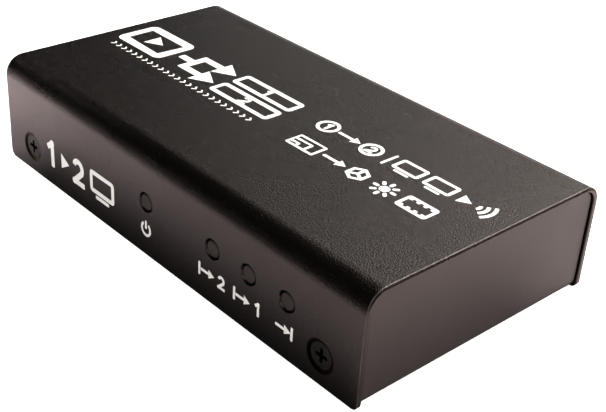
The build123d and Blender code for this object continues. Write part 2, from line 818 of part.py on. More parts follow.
with BuildPart() as thermal_pad:
    with BuildSketch(Plane.XY.offset(splitter_top)):
        with Locations(splitter_place):
            Rectangle(pad_size, pad_size)
    extrude(amount=pad_thickness)
thermal_pad.part.label = "thermal_pad"
export_step(thermal_pad.part, "parts/thermal_pad.step")

with BuildPart() as heatsink:
    with BuildSketch(Plane.XY.offset(splitter_top + pad_thickness)):
        with Locations(splitter_place):
            Rectangle(sink_size, sink_size)
    extrude(amount=sink_height)
    with BuildSketch(Plane.XY.offset(splitter_top + pad_thickness + sink_height)):
        with Locations(splitter_place):
            with GridLocations((sink_size - sink_fin) / (sink_fins - 1), 0, sink_fins - 1, 1):
                Rectangle((sink_size - sink_fins * sink_fin) / (sink_fins - 1), sink_size)
    extrude(amount=sink_base - sink_height, mode=Mode.SUBTRACT)
heatsink.part.label = "heatsink"
export_step(heatsink.part, "parts/heatsink.step")

# Controller chip and memory chip, each with leads along its two long sides
with BuildPart() as controller_chip:
    with Locations(on_board(controller_place_shares)):
        add(chip_body(controller_width, controller_length, controller_height, splitter_lift))
controller_chip.part.label = "controller_chip"
export_step(controller_chip.part, "parts/controller_chip.step")

controller_lead = gull_lead(
    controller_width / 2,
    splitter_lift + controller_height / 2,
    small_pin_reach,
    pin_thickness,
    controller_pin_width,
)
with BuildPart() as controller_chip_leads:
    with Locations(on_board(controller_place_shares)):
        with PolarLocations(0, 2):
            with GridLocations(0, controller_pin_pitch, 1, controller_pin_count):
                add(controller_lead)
controller_chip_leads.part.label = "controller_chip_leads"
export_step(controller_chip_leads.part, "parts/controller_chip_leads.step")

with BuildPart() as memory_chip:
    with Locations(on_board(memory_place_shares)):
        add(chip_body(memory_width, memory_length, memory_height, splitter_lift))
memory_chip.part.label = "memory_chip"
export_step(memory_chip.part, "parts/memory_chip.step")

memory_lead = gull_lead(
    memory_width / 2,
    splitter_lift + memory_height / 2,
    small_pin_reach,
    pin_thickness,
    memory_pin_width,
)
with BuildPart() as memory_chip_leads:
    with Locations(on_board(memory_place_shares)):
        with PolarLocations(0, 2):
            with GridLocations(0, memory_pin_pitch, 1, memory_pin_count):
                add(memory_lead)
memory_chip_leads.part.label = "memory_chip_leads"
export_step(memory_chip_leads.part, "parts/memory_chip_leads.step")

# Voltage regulators: three leads on one side, a wide tab on the other
with BuildPart() as voltage_regulators:
    with Locations([on_board(shares) for shares in regulator_place_shares]):
        add(chip_body(regulator_width, regulator_length, regulator_height, splitter_lift))
voltage_regulators.part.label = "voltage_regulators"
export_step(voltage_regulators.part, "parts/voltage_regulators.step")

regulator_drop = splitter_lift + regulator_height / 2
regulator_lead = gull_lead(
    regulator_width / 2,
    regulator_drop,
    regulator_pin_reach,
    regulator_pin_thickness,
    regulator_pin_width,
)
regulator_tab = gull_lead(
    regulator_width / 2,
    regulator_drop,
    regulator_pin_reach,
    regulator_pin_thickness,
    regulator_tab_width,
)
with BuildPart() as voltage_regulator_leads:
    with Locations([on_board(shares) for shares in regulator_place_shares]):
        add(regulator_tab)
        with Locations(Location((0, 0, 0), 180)):
            with GridLocations(0, regulator_pin_pitch, 1, 3):
                add(regulator_lead)
voltage_regulator_leads.part.label = "voltage_regulator_leads"
export_step(voltage_regulator_leads.part, "parts/voltage_regulator_leads.step")

# Crystal in its pressed can
with BuildPart() as clock_crystal:
    with BuildSketch(Plane.XY.offset(board_top)):
        with Locations(crystal_place):
            SlotOverall(crystal_length + 2 * crystal_flange, crystal_width + 2 * crystal_flange)
    extrude(amount=crystal_flange_height)
    with BuildSketch(Plane.XY.offset(board_top)):
        with Locations(crystal_place):
            SlotOverall(crystal_length, crystal_width)
    extrude(amount=crystal_height)
    fillet(clock_crystal.edges().group_by(Axis.Z)[-1], crystal_round)
    with BuildSketch(Plane.XY.offset(board_top)):
        with Locations(crystal_place):
            with GridLocations(crystal_lead_spread, 0, 2, 1):
                Circle(crystal_lead / 2)
    extrude(amount=-board_thickness - solder_reach)
clock_crystal.part.label = "clock_crystal"
export_step(clock_crystal.part, "parts/clock_crystal.step")

# Power inductors with cut corners
with BuildPart() as power_inductors:
    with Locations([on_board(shares) for shares in inductor_place_shares]):
        Box(
            inductor_size,
            inductor_size,
            inductor_height,
            align=(Align.CENTER, Align.CENTER, Align.MIN),
        )
    chamfer(power_inductors.edges().filter_by(Axis.Z), inductor_corner)
    fillet(power_inductors.edges().group_by(Axis.Z)[-1], inductor_round)
power_inductors.part.label = "power_inductors"
export_step(power_inductors.part, "parts/power_inductors.step")

# Can capacitors: a rolled can on a square base with two cut corners
with BuildPart() as capacitor_bases:
    with Locations([on_board(shares) for shares in can_place_shares]):
        Box(
            can_base_size,
            can_base_size,
            can_base_height,
            align=(Align.CENTER, Align.CENTER, Align.MIN),
        )
    with Locations([on_board(shares) for shares in can_place_shares]):
        with Locations((can_base_size / 2, 0, 0)):
            with GridLocations(0, can_base_size, 1, 2):
                Box(
                    can_base_chamfer,
                    can_base_chamfer,
                    2 * can_base_height,
                    rotation=(0, 0, 45),
                    mode=Mode.SUBTRACT,
                )
capacitor_bases.part.label = "capacitor_bases"
export_step(capacitor_bases.part, "parts/capacitor_bases.step")

with BuildPart() as capacitor_cans:
    with BuildSketch(Plane.XY.offset(board_top + can_base_height)):
        with Locations([on_board(shares)[:2] for shares in can_place_shares]):
            Circle(can_diameter / 2)
    extrude(amount=can_height - can_base_height)
    fillet(capacitor_cans.edges().group_by(Axis.Z)[-1], can_round)
    with BuildSketch(Plane.XY.offset(board_top + can_base_height + can_neck_width)):
        with Locations([on_board(shares)[:2] for shares in can_place_shares]):
            Circle(can_diameter / 2)
            Circle(can_diameter / 2 - can_neck, mode=Mode.SUBTRACT)
    extrude(amount=can_neck_width, mode=Mode.SUBTRACT)
capacitor_cans.part.label = "capacitor_cans"
export_step(capacitor_cans.part, "parts/capacitor_cans.step")

# Input fuse and diode beside the power jack
with BuildPart() as input_fuse:
    with Locations(on_board(fuse_place_share)):
        with Locations(Location((0, 0, 0), 90)):
            add(end_capped_block(fuse_length, fuse_width, fuse_height, fuse_end, capacitor_step))
input_fuse.part.label = "input_fuse"
export_step(input_fuse.part, "parts/input_fuse.step")

with BuildPart() as protection_diode:
    with Locations(on_board(diode_place_share)):
        with Locations(Location((0, 0, 0), 90)):
            add(chip_body(diode_length, diode_width, diode_height, splitter_lift))
protection_diode.part.label = "protection_diode"
export_step(protection_diode.part, "parts/protection_diode.step")

diode_lead = gull_lead(
    diode_length / 2,
    splitter_lift + diode_height / 2,
    diode_lead_reach,
    diode_lead_thickness,
    diode_lead_width,
)
with BuildPart() as protection_diode_leads:
    with Locations(on_board(diode_place_share)):
        with PolarLocations(0, 2, start_angle=90):
            add(diode_lead)
protection_diode_leads.part.label = "protection_diode_leads"
export_step(protection_diode_leads.part, "parts/protection_diode_leads.step")

# Surge arrays behind the sockets, and small parts round the chips
with BuildPart() as surge_arrays:
    for x in socket_row.values():
        with Locations((x, shell_back - contact_foot - array_length, board_top)):
            with GridLocations(array_spread, 0, 2, 1):
                add(chip_body(array_length, array_width, array_height, 0))
surge_arrays.part.label = "surge_arrays"
export_step(surge_arrays.part, "parts/surge_arrays.step")

capacitor_block = end_capped_block(
    capacitor_length, capacitor_width, capacitor_height, capacitor_end, capacitor_step
)
with BuildPart() as ceramic_capacitors:
    with Locations([on_board(shares) for shares in capacitor_place_shares]):
        add(capacitor_block)
ceramic_capacitors.part.label = "ceramic_capacitors"
export_step(ceramic_capacitors.part, "parts/ceramic_capacitors.step")

resistor_block = end_capped_block(
    resistor_length, resistor_width, resistor_height, capacitor_end, capacitor_step
)
with BuildPart() as small_resistors:
    with Locations([on_board(shares) for shares in resistor_place_shares]):
        add(resistor_block)
    for x in light_row.values():
        with Locations((x, light_lead_y + light_resistor_run, board_top)):
            add(resistor_block)
small_resistors.part.label = "small_resistors"
export_step(small_resistors.part, "parts/small_resistors.step")
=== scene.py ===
"""Looks of a small video splitter in a folded-steel box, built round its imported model."""

import logging
import math
from dataclasses import dataclass, field, replace
from enum import Enum
from typing import Any, Iterable, Self

import bmesh
import bpy
from mathutils import Matrix, Vector


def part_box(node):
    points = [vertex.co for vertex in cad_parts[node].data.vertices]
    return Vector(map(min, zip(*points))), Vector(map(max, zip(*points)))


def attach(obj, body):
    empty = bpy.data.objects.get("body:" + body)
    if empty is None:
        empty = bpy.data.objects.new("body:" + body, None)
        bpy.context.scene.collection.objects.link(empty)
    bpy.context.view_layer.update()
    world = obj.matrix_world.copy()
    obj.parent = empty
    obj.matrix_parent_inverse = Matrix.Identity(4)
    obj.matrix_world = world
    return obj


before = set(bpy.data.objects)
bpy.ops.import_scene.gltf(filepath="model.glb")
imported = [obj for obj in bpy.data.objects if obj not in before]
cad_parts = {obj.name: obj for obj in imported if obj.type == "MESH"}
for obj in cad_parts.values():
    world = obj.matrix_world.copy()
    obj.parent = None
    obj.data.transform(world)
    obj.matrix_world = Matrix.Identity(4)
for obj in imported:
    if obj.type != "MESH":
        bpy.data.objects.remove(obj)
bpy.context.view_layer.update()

Colour = tuple[float, float, float]
Point = tuple[float, float]
Span = tuple[float, float]
Node = bpy.types.Node
Socket = bpy.types.NodeSocket
Sockets = dict[str, Socket]

LOG = logging.getLogger("splitter")
MM = 0.001
BODY = "root"
INK_DEPTH = 0.03  # mm of a printed mark, a third of it sunk in the paint
INK_SUNK = 1.0 / 3.0
INK_STEP = 0.0002  # mm by which each mark of a print stands higher than the last
VIDEO_SOCKETS = ("input", "output_1", "output_2")
LIGHTS = ("power", "output_2", "output_1", "input")


# Shader trees


class ShaderTree:
    """Adds and joins the nodes of one node tree."""

    def __init__(self, tree: bpy.types.NodeTree) -> None:
        """Keeps the node tree of a material, a group or the world."""
        self.tree = tree

    def add(self, kind: str, sockets: dict[str | int, Any] | None = None, **settings: Any) -> Node:
        """Adds a node, with values or links on its inputs.

        Args:
            kind: the node's type name after "ShaderNode".
            sockets: input name or number to a value, or to an output socket to join.
            settings: the node's own properties.

        Returns:
            The new node.
        """
        node = self.tree.nodes.new("ShaderNode" + kind)
        for name, value in settings.items():
            setattr(node, name, value)
        for name, value in (sockets or {}).items():
            if isinstance(value, Socket):
                self.join(value, node.inputs[name])
            else:
                node.inputs[name].default_value = value
        return node

    def join(self, value: Socket, socket: Socket) -> None:
        """Joins an output to an input."""
        self.tree.links.new(value, socket)

    def noise(self, vector: Socket, scale: Any, detail: float = 2.0, rough: float = 0.5) -> Socket:
        """Adds a noise texture, read at a vector, with some octaves and how strong the finer ones are."""
        sockets = {"Vector": vector, "Scale": scale, "Detail": detail, "Roughness": rough}
        return self.add("TexNoise", sockets).outputs[0]

    def calc(self, operation: str, *values: Any, clamp: bool = False) -> Socket:
        """Gives a Math node's result for numbers or sockets, between 0 and 1 if it is clamped."""
        node = self.add("Math", dict(enumerate(values)), operation=operation, use_clamp=clamp)
        return node.outputs[0]

    def remap(self, value: Socket, span: Span, onto: Span = (0.0, 1.0)) -> Socket:
        """Maps a value smoothly from the ends of a span onto two results, which hold beyond them."""
        ends = dict(zip(("From Min", "From Max", "To Min", "To Max"), (*span, *onto)))
        return self.add("MapRange", {"Value": value, **ends}, interpolation_type="SMOOTHSTEP").outputs[0]

    def blend(self, factor: Socket, first: Colour, second: Colour) -> Socket:
        """Mixes two colours by a factor that changes over the surface.

        Args:
            factor: 0 for the first colour, 1 for the second.
            first: colour at 0.
            second: colour at 1.

        Returns:
            The mixed colour.
        """
        ramp = self.add("ValToRGB", {"Fac": factor})
        for element, colour in zip(ramp.color_ramp.elements, (first, second)):
            element.color = (*colour, 1.0)
        return ramp.outputs[0]

    def hypotenuse(self, first: Socket, second: Socket) -> Socket:
        """Gives the length across two distances that are square to each other."""
        squares = [self.calc("POWER", part, 2.0) for part in (first, second)]
        return self.calc("SQRT", self.calc("ADD", *squares))


class Effect(Enum):
    """Shader effects that several finishes share or that need many nodes, each one node group."""

    SPRAYED_GRAIN = "sprayed_grain"
    HANDLING = "handling"
    DRAWN_LINES = "drawn_lines"
    SPARK_TEXTURE = "spark_texture"
    CUT_END = "cut_end"
    SEAT_RING = "seat_shadow"


class EffectLibrary:
    """Builds each shared node group once."""

    _made: dict[Effect, bpy.types.NodeTree] = {}

    @classmethod
    def get(cls, effect: Effect) -> bpy.types.NodeTree:
        """Gives an effect's group, built on first use.

        Args:
            effect: which effect.

        Returns:
            Its node group.
        """
        if effect not in cls._made:
            cls._made[effect] = getattr(cls, "_" + effect.value)()
        return cls._made[effect]

    @staticmethod
    def _start(
        effect: Effect, inputs: Iterable[str], outputs: Iterable[str]
    ) -> tuple[ShaderTree, Sockets, Sockets]:
        """Starts a group with named sockets, of which the first is always the vector.

        Args:
            effect: which effect.
            inputs: names of its sockets for numbers, or Stretch for a vector.
            outputs: names of the values that it puts out.

        Returns:
            The tree, its input sockets and the sockets of its output node, by name.
        """
        group = bpy.data.node_groups.new(effect.value, "ShaderNodeTree")
        names = ("Vector", *inputs)
        for name in names:
            kind = "NodeSocketVector" if name in ("Vector", "Stretch") else "NodeSocketFloat"
            group.interface.new_socket(name, in_out="INPUT", socket_type=kind)
        for name in outputs:
            group.interface.new_socket(name, in_out="OUTPUT", socket_type="NodeSocketFloat")
        entry, end = group.nodes.new("NodeGroupInput"), group.nodes.new("NodeGroupOutput")
        given = {name: entry.outputs[name] for name in names}
        return ShaderTree(group), given, {name: end.inputs[name] for name in outputs}

    @classmethod
    def _sprayed_grain(cls) -> bpy.types.NodeTree:
        """Builds the sand-like grain of a sprayed and baked paint.

        Returns:
            The group.
        """
        pit, pit_share, speck, speck_scale = (0.1, 0.65), 0.45, (0.57, 0.70), 1.7
        tree, given, out = cls._start(Effect.SPRAYED_GRAIN, ("Grains",), ("Height", "Speck"))
        vector, grains = given["Vector"], given["Grains"]
        coarse = tree.noise(vector, grains, detail=3.0, rough=0.6)
        cells = tree.add("TexVoronoi", {"Vector": vector, "Scale": grains}, feature="SMOOTH_F1")
        pits = tree.remap(cells.outputs["Distance"], pit, (1.0, 0.0))
        fine = tree.noise(vector, tree.calc("MULTIPLY", grains, speck_scale), detail=1.0)
        tree.join(tree.calc("MULTIPLY_ADD", pits, pit_share, coarse), out["Height"])
        tree.join(tree.remap(fine, speck), out["Speck"])
        return tree.tree

    @classmethod
    def _handling(cls) -> bpy.types.NodeTree:
        """Builds broad, faint changes of gloss where a surface has been handled.

        Returns:
            The group.
        """
        stretch, lean, wipe_scale = (1.0, 3.0, 1.6), (0.0, 0.3, 0.5), 3.0
        wipe_share, broad_share, mask = 0.4, 0.7, (0.38, 0.72)
        tree, given, out = cls._start(Effect.HANDLING, ("Patches",), ("Mask",))
        vector, patches = given["Vector"], given["Patches"]
        broad = tree.calc("MULTIPLY", tree.noise(vector, patches, detail=3.0, rough=0.55), broad_share)
        streaks = tree.add("Mapping", {"Vector": vector, "Scale": stretch, "Rotation": lean}).outputs[0]
        wiped = tree.noise(streaks, tree.calc("MULTIPLY", patches, wipe_scale))
        tree.join(tree.remap(tree.calc("MULTIPLY_ADD", wiped, wipe_share, broad), mask), out["Mask"])
        return tree.tree

    @classmethod
    def _drawn_lines(cls) -> bpy.types.NodeTree:
        """Builds fine lines left by rolling or drawing a metal, along one direction.

        Returns:
            The group.
        """
        contrast = (0.35, 0.65)
        tree, given, out = cls._start(Effect.DRAWN_LINES, ("Stretch",), ("Height", "Lines"))
        stretched = tree.add("VectorMath", {0: given["Vector"], 1: given["Stretch"]}, operation="MULTIPLY")
        lines = tree.noise(stretched.outputs[0], scale=1.0, detail=4.0, rough=0.6)
        tree.join(lines, out["Height"])
        tree.join(tree.remap(lines, contrast), out["Lines"])
        return tree.tree

    @classmethod
    def _spark_texture(cls) -> bpy.types.NodeTree:
        """Builds the even pitting that a spark-eroded mould leaves on plastic.

        Returns:
            The group.
        """
        soft_scale, broad_scale, contrast = 0.5, 0.04, (0.35, 0.65)
        tree, given, out = cls._start(Effect.SPARK_TEXTURE, ("Pits",), ("Height", "Dull"))
        vector, pits = given["Vector"], given["Pits"]
        cells = tree.add("TexVoronoi", {"Vector": vector, "Scale": pits})
        soft = tree.noise(vector, tree.calc("MULTIPLY", pits, soft_scale), rough=0.6)
        broad = tree.noise(vector, tree.calc("MULTIPLY", pits, broad_scale))
        tree.join(tree.calc("ADD", cells.outputs["Distance"], soft), out["Height"])
        tree.join(tree.remap(broad, contrast), out["Dull"])
        return tree.tree

    @classmethod
    def _cut_end(cls) -> bpy.types.NodeTree:
        """Builds paint that lies thin and round over the cut ends of the folded cover, which runs along X,
        and painted shade on the upper part of their cut edges.

        Returns:
            The group. Rub is where the paint is rubbed through, Cut is painted shade on the upper part of the
            cut edge, and Drop is how far the rounded surface lies below the sharp one.
        """
        blunt = 0.06 * MM  # the rounding's steepest part is cut off here
        rub_scale, rub_breaks, rub_least = 900.0, (0.3, 0.6), 0.35
        on_cut, dark_depth, dark_height = (0.01 * MM, 0.07 * MM), (0.40 * MM, 0.58 * MM), (0.5 * MM, 2.0 * MM)
        sizes = ("Half Length", "Half Depth", "Top", "Bend", "Lip", "Sheet")
        tree, given, out = cls._start(Effect.CUT_END, sizes, ("Rub", "Cut", "Drop"))
        place = tree.add("SeparateXYZ", {0: given["Vector"]})
        along, across = (tree.calc("ABSOLUTE", place.outputs[axis]) for axis in ("X", "Y"))
        inset = tree.calc("SUBTRACT", given["Half Length"], along)
        side = tree.calc("ADD", tree.calc("SUBTRACT", across, given["Half Depth"]), given["Bend"])
        above = tree.calc("ADD", tree.calc("SUBTRACT", place.outputs["Z"], given["Top"]), given["Bend"])
        reach = tree.hypotenuse(*(tree.calc("MAXIMUM", part, 0.0) for part in (side, above)))
        inner = tree.calc("MINIMUM", tree.calc("MAXIMUM", side, above), 0.0)
        under = tree.calc("SUBTRACT", tree.calc("SUBTRACT", given["Bend"], reach), inner)
        over_lip = cls._ease(tree, inset, given["Lip"])
        over_end = cls._ease(tree, tree.calc("MAXIMUM", under, blunt), given["Sheet"])
        near = tree.calc("SUBTRACT", 1.0, tree.calc("DIVIDE", inset, given["Lip"]), clamp=True)
        breaks = tree.noise(given["Vector"], rub_scale, detail=3.0, rough=0.6)
        broken = tree.remap(breaks, rub_breaks, (rub_least, 1.0))
        rubbed = tree.calc("MULTIPLY", near, broken, clamp=True)
        # Painted shade: the upper part of the cut edge, near the top, is made dark.
        cut = tree.remap(inset, on_cut, (1.0, 0.0))
        edge = tree.remap(under, dark_depth, (1.0, 0.0))
        upper = tree.calc("MULTIPLY", edge, tree.remap(above, dark_height))
        tree.join(tree.calc("SUBTRACT", rubbed, cut, clamp=True), out["Rub"])
        tree.join(tree.calc("MULTIPLY", cut, upper), out["Cut"])
        tree.join(tree.calc("ADD", over_lip, over_end), out["Drop"])
        return tree.tree

    @classmethod
    def _seat_shadow(cls) -> bpy.types.NodeTree:
        """Builds a painted shadow ring, dead black, round two screws equally far from the middle, seen along
        Y.

        Returns:
            The group.
        """
        waviness, wave_scale, outer_blur, inner_blur = 0.12 * MM, 1800.0, 0.16 * MM, 0.1 * MM
        sizes = ("Half Pitch", "Height", "Inner", "Outer")
        tree, given, out = cls._start(Effect.SEAT_RING, sizes, ("Mask",))
        place = tree.add("SeparateXYZ", {0: given["Vector"]})
        along = tree.calc("SUBTRACT", tree.calc("ABSOLUTE", place.outputs["X"]), given["Half Pitch"])
        above = tree.calc("SUBTRACT", place.outputs["Z"], given["Height"])
        wave = tree.noise(given["Vector"], wave_scale)
        away = tree.calc("MULTIPLY_ADD", wave, waviness, tree.hypotenuse(along, above))
        faded = tree.calc("ADD", given["Outer"], outer_blur)
        within = tree.add("MapRange", {"Value": away, "From Min": faded, "From Max": given["Outer"]})
        starts = tree.calc("SUBTRACT", given["Inner"], inner_blur)
        beyond = tree.add("MapRange", {"Value": away, "From Min": starts, "From Max": given["Inner"]})
        ring = tree.calc("MULTIPLY", within.outputs[0], beyond.outputs[0], clamp=True)
        tree.join(ring, out["Mask"])
        return tree.tree

    @staticmethod
    def _ease(tree: ShaderTree, distance: Socket, reach: Socket) -> Socket:
        """Gives the drop of a rounding that starts at a reach and slopes 45 degrees at distance 0."""
        left = tree.calc("MAXIMUM", tree.calc("SUBTRACT", reach, distance), 0.0)
        return tree.calc("DIVIDE", tree.calc("POWER", left, 2.0), tree.calc("MULTIPLY", reach, 2.0))


# Finishes


class Surface:
    """One material while its finish is added: its tree, its Principled BSDF and Object coordinates."""

    def __init__(self, material: bpy.types.Material) -> None:
        """Finds the material's nodes.

        Args:
            material: the material, which uses nodes.
        """
        self.tree = ShaderTree(material.node_tree)
        self.shader = material.node_tree.nodes["Principled BSDF"]
        self.place = self.tree.add("TexCoord").outputs["Object"]

    def axis(self, name: str) -> Socket:
        """Gives one of the coordinates, in metres."""
        return self.tree.add("SeparateXYZ", {0: self.place}).outputs[name]

    def effect(self, effect: Effect, **values: Any) -> Node:
        """Places a shared effect in the material.

        Args:
            effect: which effect.
            values: its inputs, with spaces in their names as underscores.

        Returns:
            The group's node.
        """
        node = self.tree.add("Group", node_tree=EffectLibrary.get(effect))
        self.tree.join(self.place, node.inputs["Vector"])
        for name, value in values.items():
            node.inputs[name.replace("_", " ")].default_value = value
        return node

    def set(self, socket: str, value: Any) -> None:
        """Sets a value that is the same all over on the shader's own socket."""
        self.shader.inputs[socket].default_value = value

    def feed(self, socket: str, value: Socket) -> None:
        """Joins a value that changes over the surface to a socket of the shader."""
        self.tree.join(value, self.shader.inputs[socket])

    def bump(self, height: Socket, depth: float, strength: float = 1.0) -> None:
        """Feeds a height into the shader's normal, with its depth in metres and the bump's strength."""
        node = self.tree.add("Bump", {"Height": height, "Distance": depth, "Strength": strength})
        self.feed("Normal", node.outputs[0])


@dataclass(frozen=True)
class Finish:
    """A surface finish, with the slot that it stands for."""

    slot: str
    colour: Colour
    roughness: float
    second: Colour
    spread: Span = (-0.05, 0.10)  # how far the roughness goes down and up
    patches: float = 160.0  # handling marks in a metre

    def title(self) -> str:
        """Gives the material's name."""
        return "finish_" + self.slot

    def material(self) -> bpy.types.Material:
        """Gives the finish's material, built on first use.

        Returns:
            The material.
        """
        found = bpy.data.materials.get(self.title())
        if found:
            return found
        made = bpy.data.materials.new(self.title())
        made.use_nodes = True
        made.diffuse_color = (*self.colour, 1.0)
        surface = Surface(made)
        surface.set("Base Color", (*self.colour, 1.0))
        self.detail(surface)
        return made

    def detail(self, surface: Surface) -> None:
        """Adds what makes this finish more than one colour."""
        raise NotImplementedError

    def handling(self, surface: Surface) -> Socket:
        """Gives the mask of the marks that handling leaves."""
        return surface.effect(Effect.HANDLING, Patches=self.patches).outputs["Mask"]

    def vary(self, surface: Surface, tone: Socket, dull: Socket, dull_span: Span = (0.0, 1.0)) -> None:
        """Lets the colour follow one mask, up to the second colour, and the roughness another."""
        surface.feed("Base Color", surface.tree.blend(tone, self.colour, self.second))
        self.roughen(surface, dull, dull_span)

    def roughen(self, surface: Surface, mask: Socket, span: Span = (0.0, 1.0)) -> None:
        """Lets the roughness follow a mask, from its lowest to its highest over the span."""
        low, high = (self.roughness + part for part in self.spread)
        surface.feed("Roughness", surface.tree.remap(mask, span, (low, high)))


@dataclass(frozen=True)
class SprayedPaint(Finish):
    """Black baked paint with a fine sandy grain, weaker on the sides than on the top."""

    second: Colour = (0.10, 0.092, 0.085)
    spread: Span = (-0.02, 0.03)
    patches: float = 38.0
    part: str = "tray"
    tint: Colour = (1.0, 0.85, 0.81)
    grains: float = 4200.0
    grain_depth: float = 0.03 * MM
    side_share: float = 0.3
    side_from: float = 4.0 * MM  # below the top

    def title(self) -> str:
        """Gives the material's name."""
        return f"finish_{self.slot}_{self.part}"

    def detail(self, surface: Surface) -> None:
        """Adds grain, handling, and the wear and painted shade of the part that is painted.

        Args:
            surface: the material.
        """
        surface.set("Specular Tint", (*self.tint, 1.0))
        grain = surface.effect(Effect.SPRAYED_GRAIN, Grains=self.grains)
        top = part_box("top_cover")[1].z
        depths = (self.grain_depth * self.side_share, self.grain_depth)
        depth = surface.tree.remap(surface.axis("Z"), (top - self.side_from, top), depths)
        height = surface.tree.calc("MULTIPLY", grain.outputs["Height"], depth)
        self.roughen(surface, self.handling(surface))
        surface.bump(self.wear_and_painted_shade(surface, grain.outputs["Speck"], height), depth=1.0)

    def wear_and_painted_shade(self, surface: Surface, speck: Socket, height: Socket) -> Socket:
        """Gives the height back as it is, because nothing rubs the tray."""
        return height


@dataclass(frozen=True)
class CoverPaint(SprayedPaint):
    """The cover's paint: specks on the top that are partly painted glints, thin round paint at the cut ends
    with painted shade on their upper part, and painted shadow rings at the screws.
    """

    part: str = "cover"
    grain_depth: float = 0.08 * MM
    glint_speck_share: float = 0.35
    speck_span: Span = (0.12 * MM, 0.02 * MM)  # below the top, where the specks, partly painted glints, start and are full
    rub_share: float = 0.3
    # how strongly Metallic paints shade on the cut edges' upper part
    cut_shade: float = 0.85
    bend: float = 3.5 * MM
    sheet: float = 0.8 * MM
    lip: float = 0.3 * MM
    # width of the painted shadow ring round each screw seat
    shadow_ring_width: float = 0.62 * MM

    def wear_and_painted_shade(self, surface: Surface, speck: Socket, height: Socket) -> Socket:
        """Adds the specks, partly painted glints, the cut ends' rounding and painted shade, and painted
        shadow rings round the screw seats.

        Args:
            surface: the material.
            speck: where the grain's specks are.
            height: the paint's height so far, in metres.

        Returns:
            The new height.
        """
        tree, corner = surface.tree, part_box("top_cover")[1]
        low_screw, high_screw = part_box("front_cover_screws")
        radius = (high_screw.z - low_screw.z) / 2
        end = surface.effect(
            Effect.CUT_END, Half_Length=corner.x, Half_Depth=corner.y, Top=corner.z,
            Bend=self.bend, Lip=self.lip, Sheet=self.sheet,
        )
        # Painted shadow: a dead-black ring round each screw seat, where the gap round the head lies in shade.
        ring = surface.effect(
            Effect.SEAT_RING, Half_Pitch=high_screw.x - radius, Height=low_screw.z + radius,
            Inner=radius, Outer=radius + self.shadow_ring_width,
        )
        # Metallic over the black base colour paints shade: on the cut edges' upper part and in the rings
        # round the screw seats.
        dead = tree.calc(
            "MULTIPLY_ADD", end.outputs["Cut"], self.cut_shade, ring.outputs["Mask"], clamp=True
        )
        surface.feed("Metallic", dead)
        # Lighter grain specks on the top face only, partly painted glints where the top catches the light,
        # and rubbed paint at the cut ends.
        on_top = tuple(corner.z - drop for drop in self.speck_span)
        share = tree.remap(surface.axis("Z"), on_top, (0.0, self.glint_speck_share))
        glint_specks_and_rub = tree.calc("MULTIPLY", speck, share)
        glint_specks_and_rub = tree.calc("MULTIPLY_ADD", end.outputs["Rub"], self.rub_share, glint_specks_and_rub, clamp=True)
        surface.feed("Base Color", tree.blend(glint_specks_and_rub, self.colour, self.second))
        return tree.calc("SUBTRACT", height, end.outputs["Drop"])


@dataclass(frozen=True)
class TexturedFinish(Finish):
    """A finish with handling marks in its colour and one shared effect in its gloss and relief."""

    effect: Effect = Effect.SPRAYED_GRAIN
    measure: str = "Grains"  # name of the effect's input
    measures: Any = 5200.0
    dull: str = "Speck"  # name of the output that the gloss follows
    depth: float = 0.01 * MM
    strength: float = 0.6
    metallic: float = 0.0

    def detail(self, surface: Surface) -> None:
        """Adds marks, gloss and relief.

        Args:
            surface: the material.
        """
        surface.set("Metallic", self.metallic)
        texture = surface.effect(self.effect, **{self.measure: self.measures})
        self.vary(surface, self.handling(surface), texture.outputs[self.dull])
        surface.bump(texture.outputs["Height"], self.depth, self.strength)


@dataclass(frozen=True)
class BlackedSteel(TexturedFinish):
    """Black-oxided screw steel with faint tool marks, and painted shade that makes the cross dead black."""

    second: Colour = (0.014, 0.013, 0.012)
    spread: Span = (0.0, 0.2)
    patches: float = 420.0
    measures: Any = 2600.0
    depth: float = 0.008 * MM
    strength: float = 0.5
    cross_span: Span = (0.3 * MM, 0.05 * MM)  # below the head's face
    cross_shade_and_face: Span = (1.0, 0.55)  # metallic in the cross, where it paints shade, and on the face

    def detail(self, surface: Surface) -> None:
        """Adds mottled oxide and painted shade in the cross.

        Args:
            surface: the material.
        """
        super().detail(surface)
        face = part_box("rear_cover_screws")[1].y
        away = surface.tree.calc("ABSOLUTE", surface.axis("Y"))
        within = tuple(face - depth for depth in self.cross_span)
        # Painted shade: Metallic over the black base colour makes the recessed cross dead black, the face
        # less so.
        surface.feed("Metallic", surface.tree.remap(away, within, self.cross_shade_and_face))


@dataclass(frozen=True)
class MouldedPlastic(TexturedFinish):
    """Moulded plastic with the mould's fine texture, and flow marks in its colour."""

    spread: Span = (-0.06, 0.08)
    effect: Effect = Effect.SPARK_TEXTURE
    measure: str = "Pits"
    measures: Any = 9000.0
    dull: str = "Dull"


@dataclass(frozen=True)
class PlatedMetal(TexturedFinish):
    """Rolled and plated metal with lines along one direction and faint tarnish."""

    patches: float = 260.0
    effect: Effect = Effect.DRAWN_LINES
    measure: str = "Stretch"
    dull: str = "Lines"
    depth: float = 0.0015 * MM
    strength: float = 0.5
    metallic: float = 1.0


@dataclass(frozen=True)
class FiredBody(TexturedFinish):
    """Fired ceramic or pressed ferrite with a mottled, slightly pitted body."""

    spread: Span = (0.0, 0.15)
    patches: float = 700.0


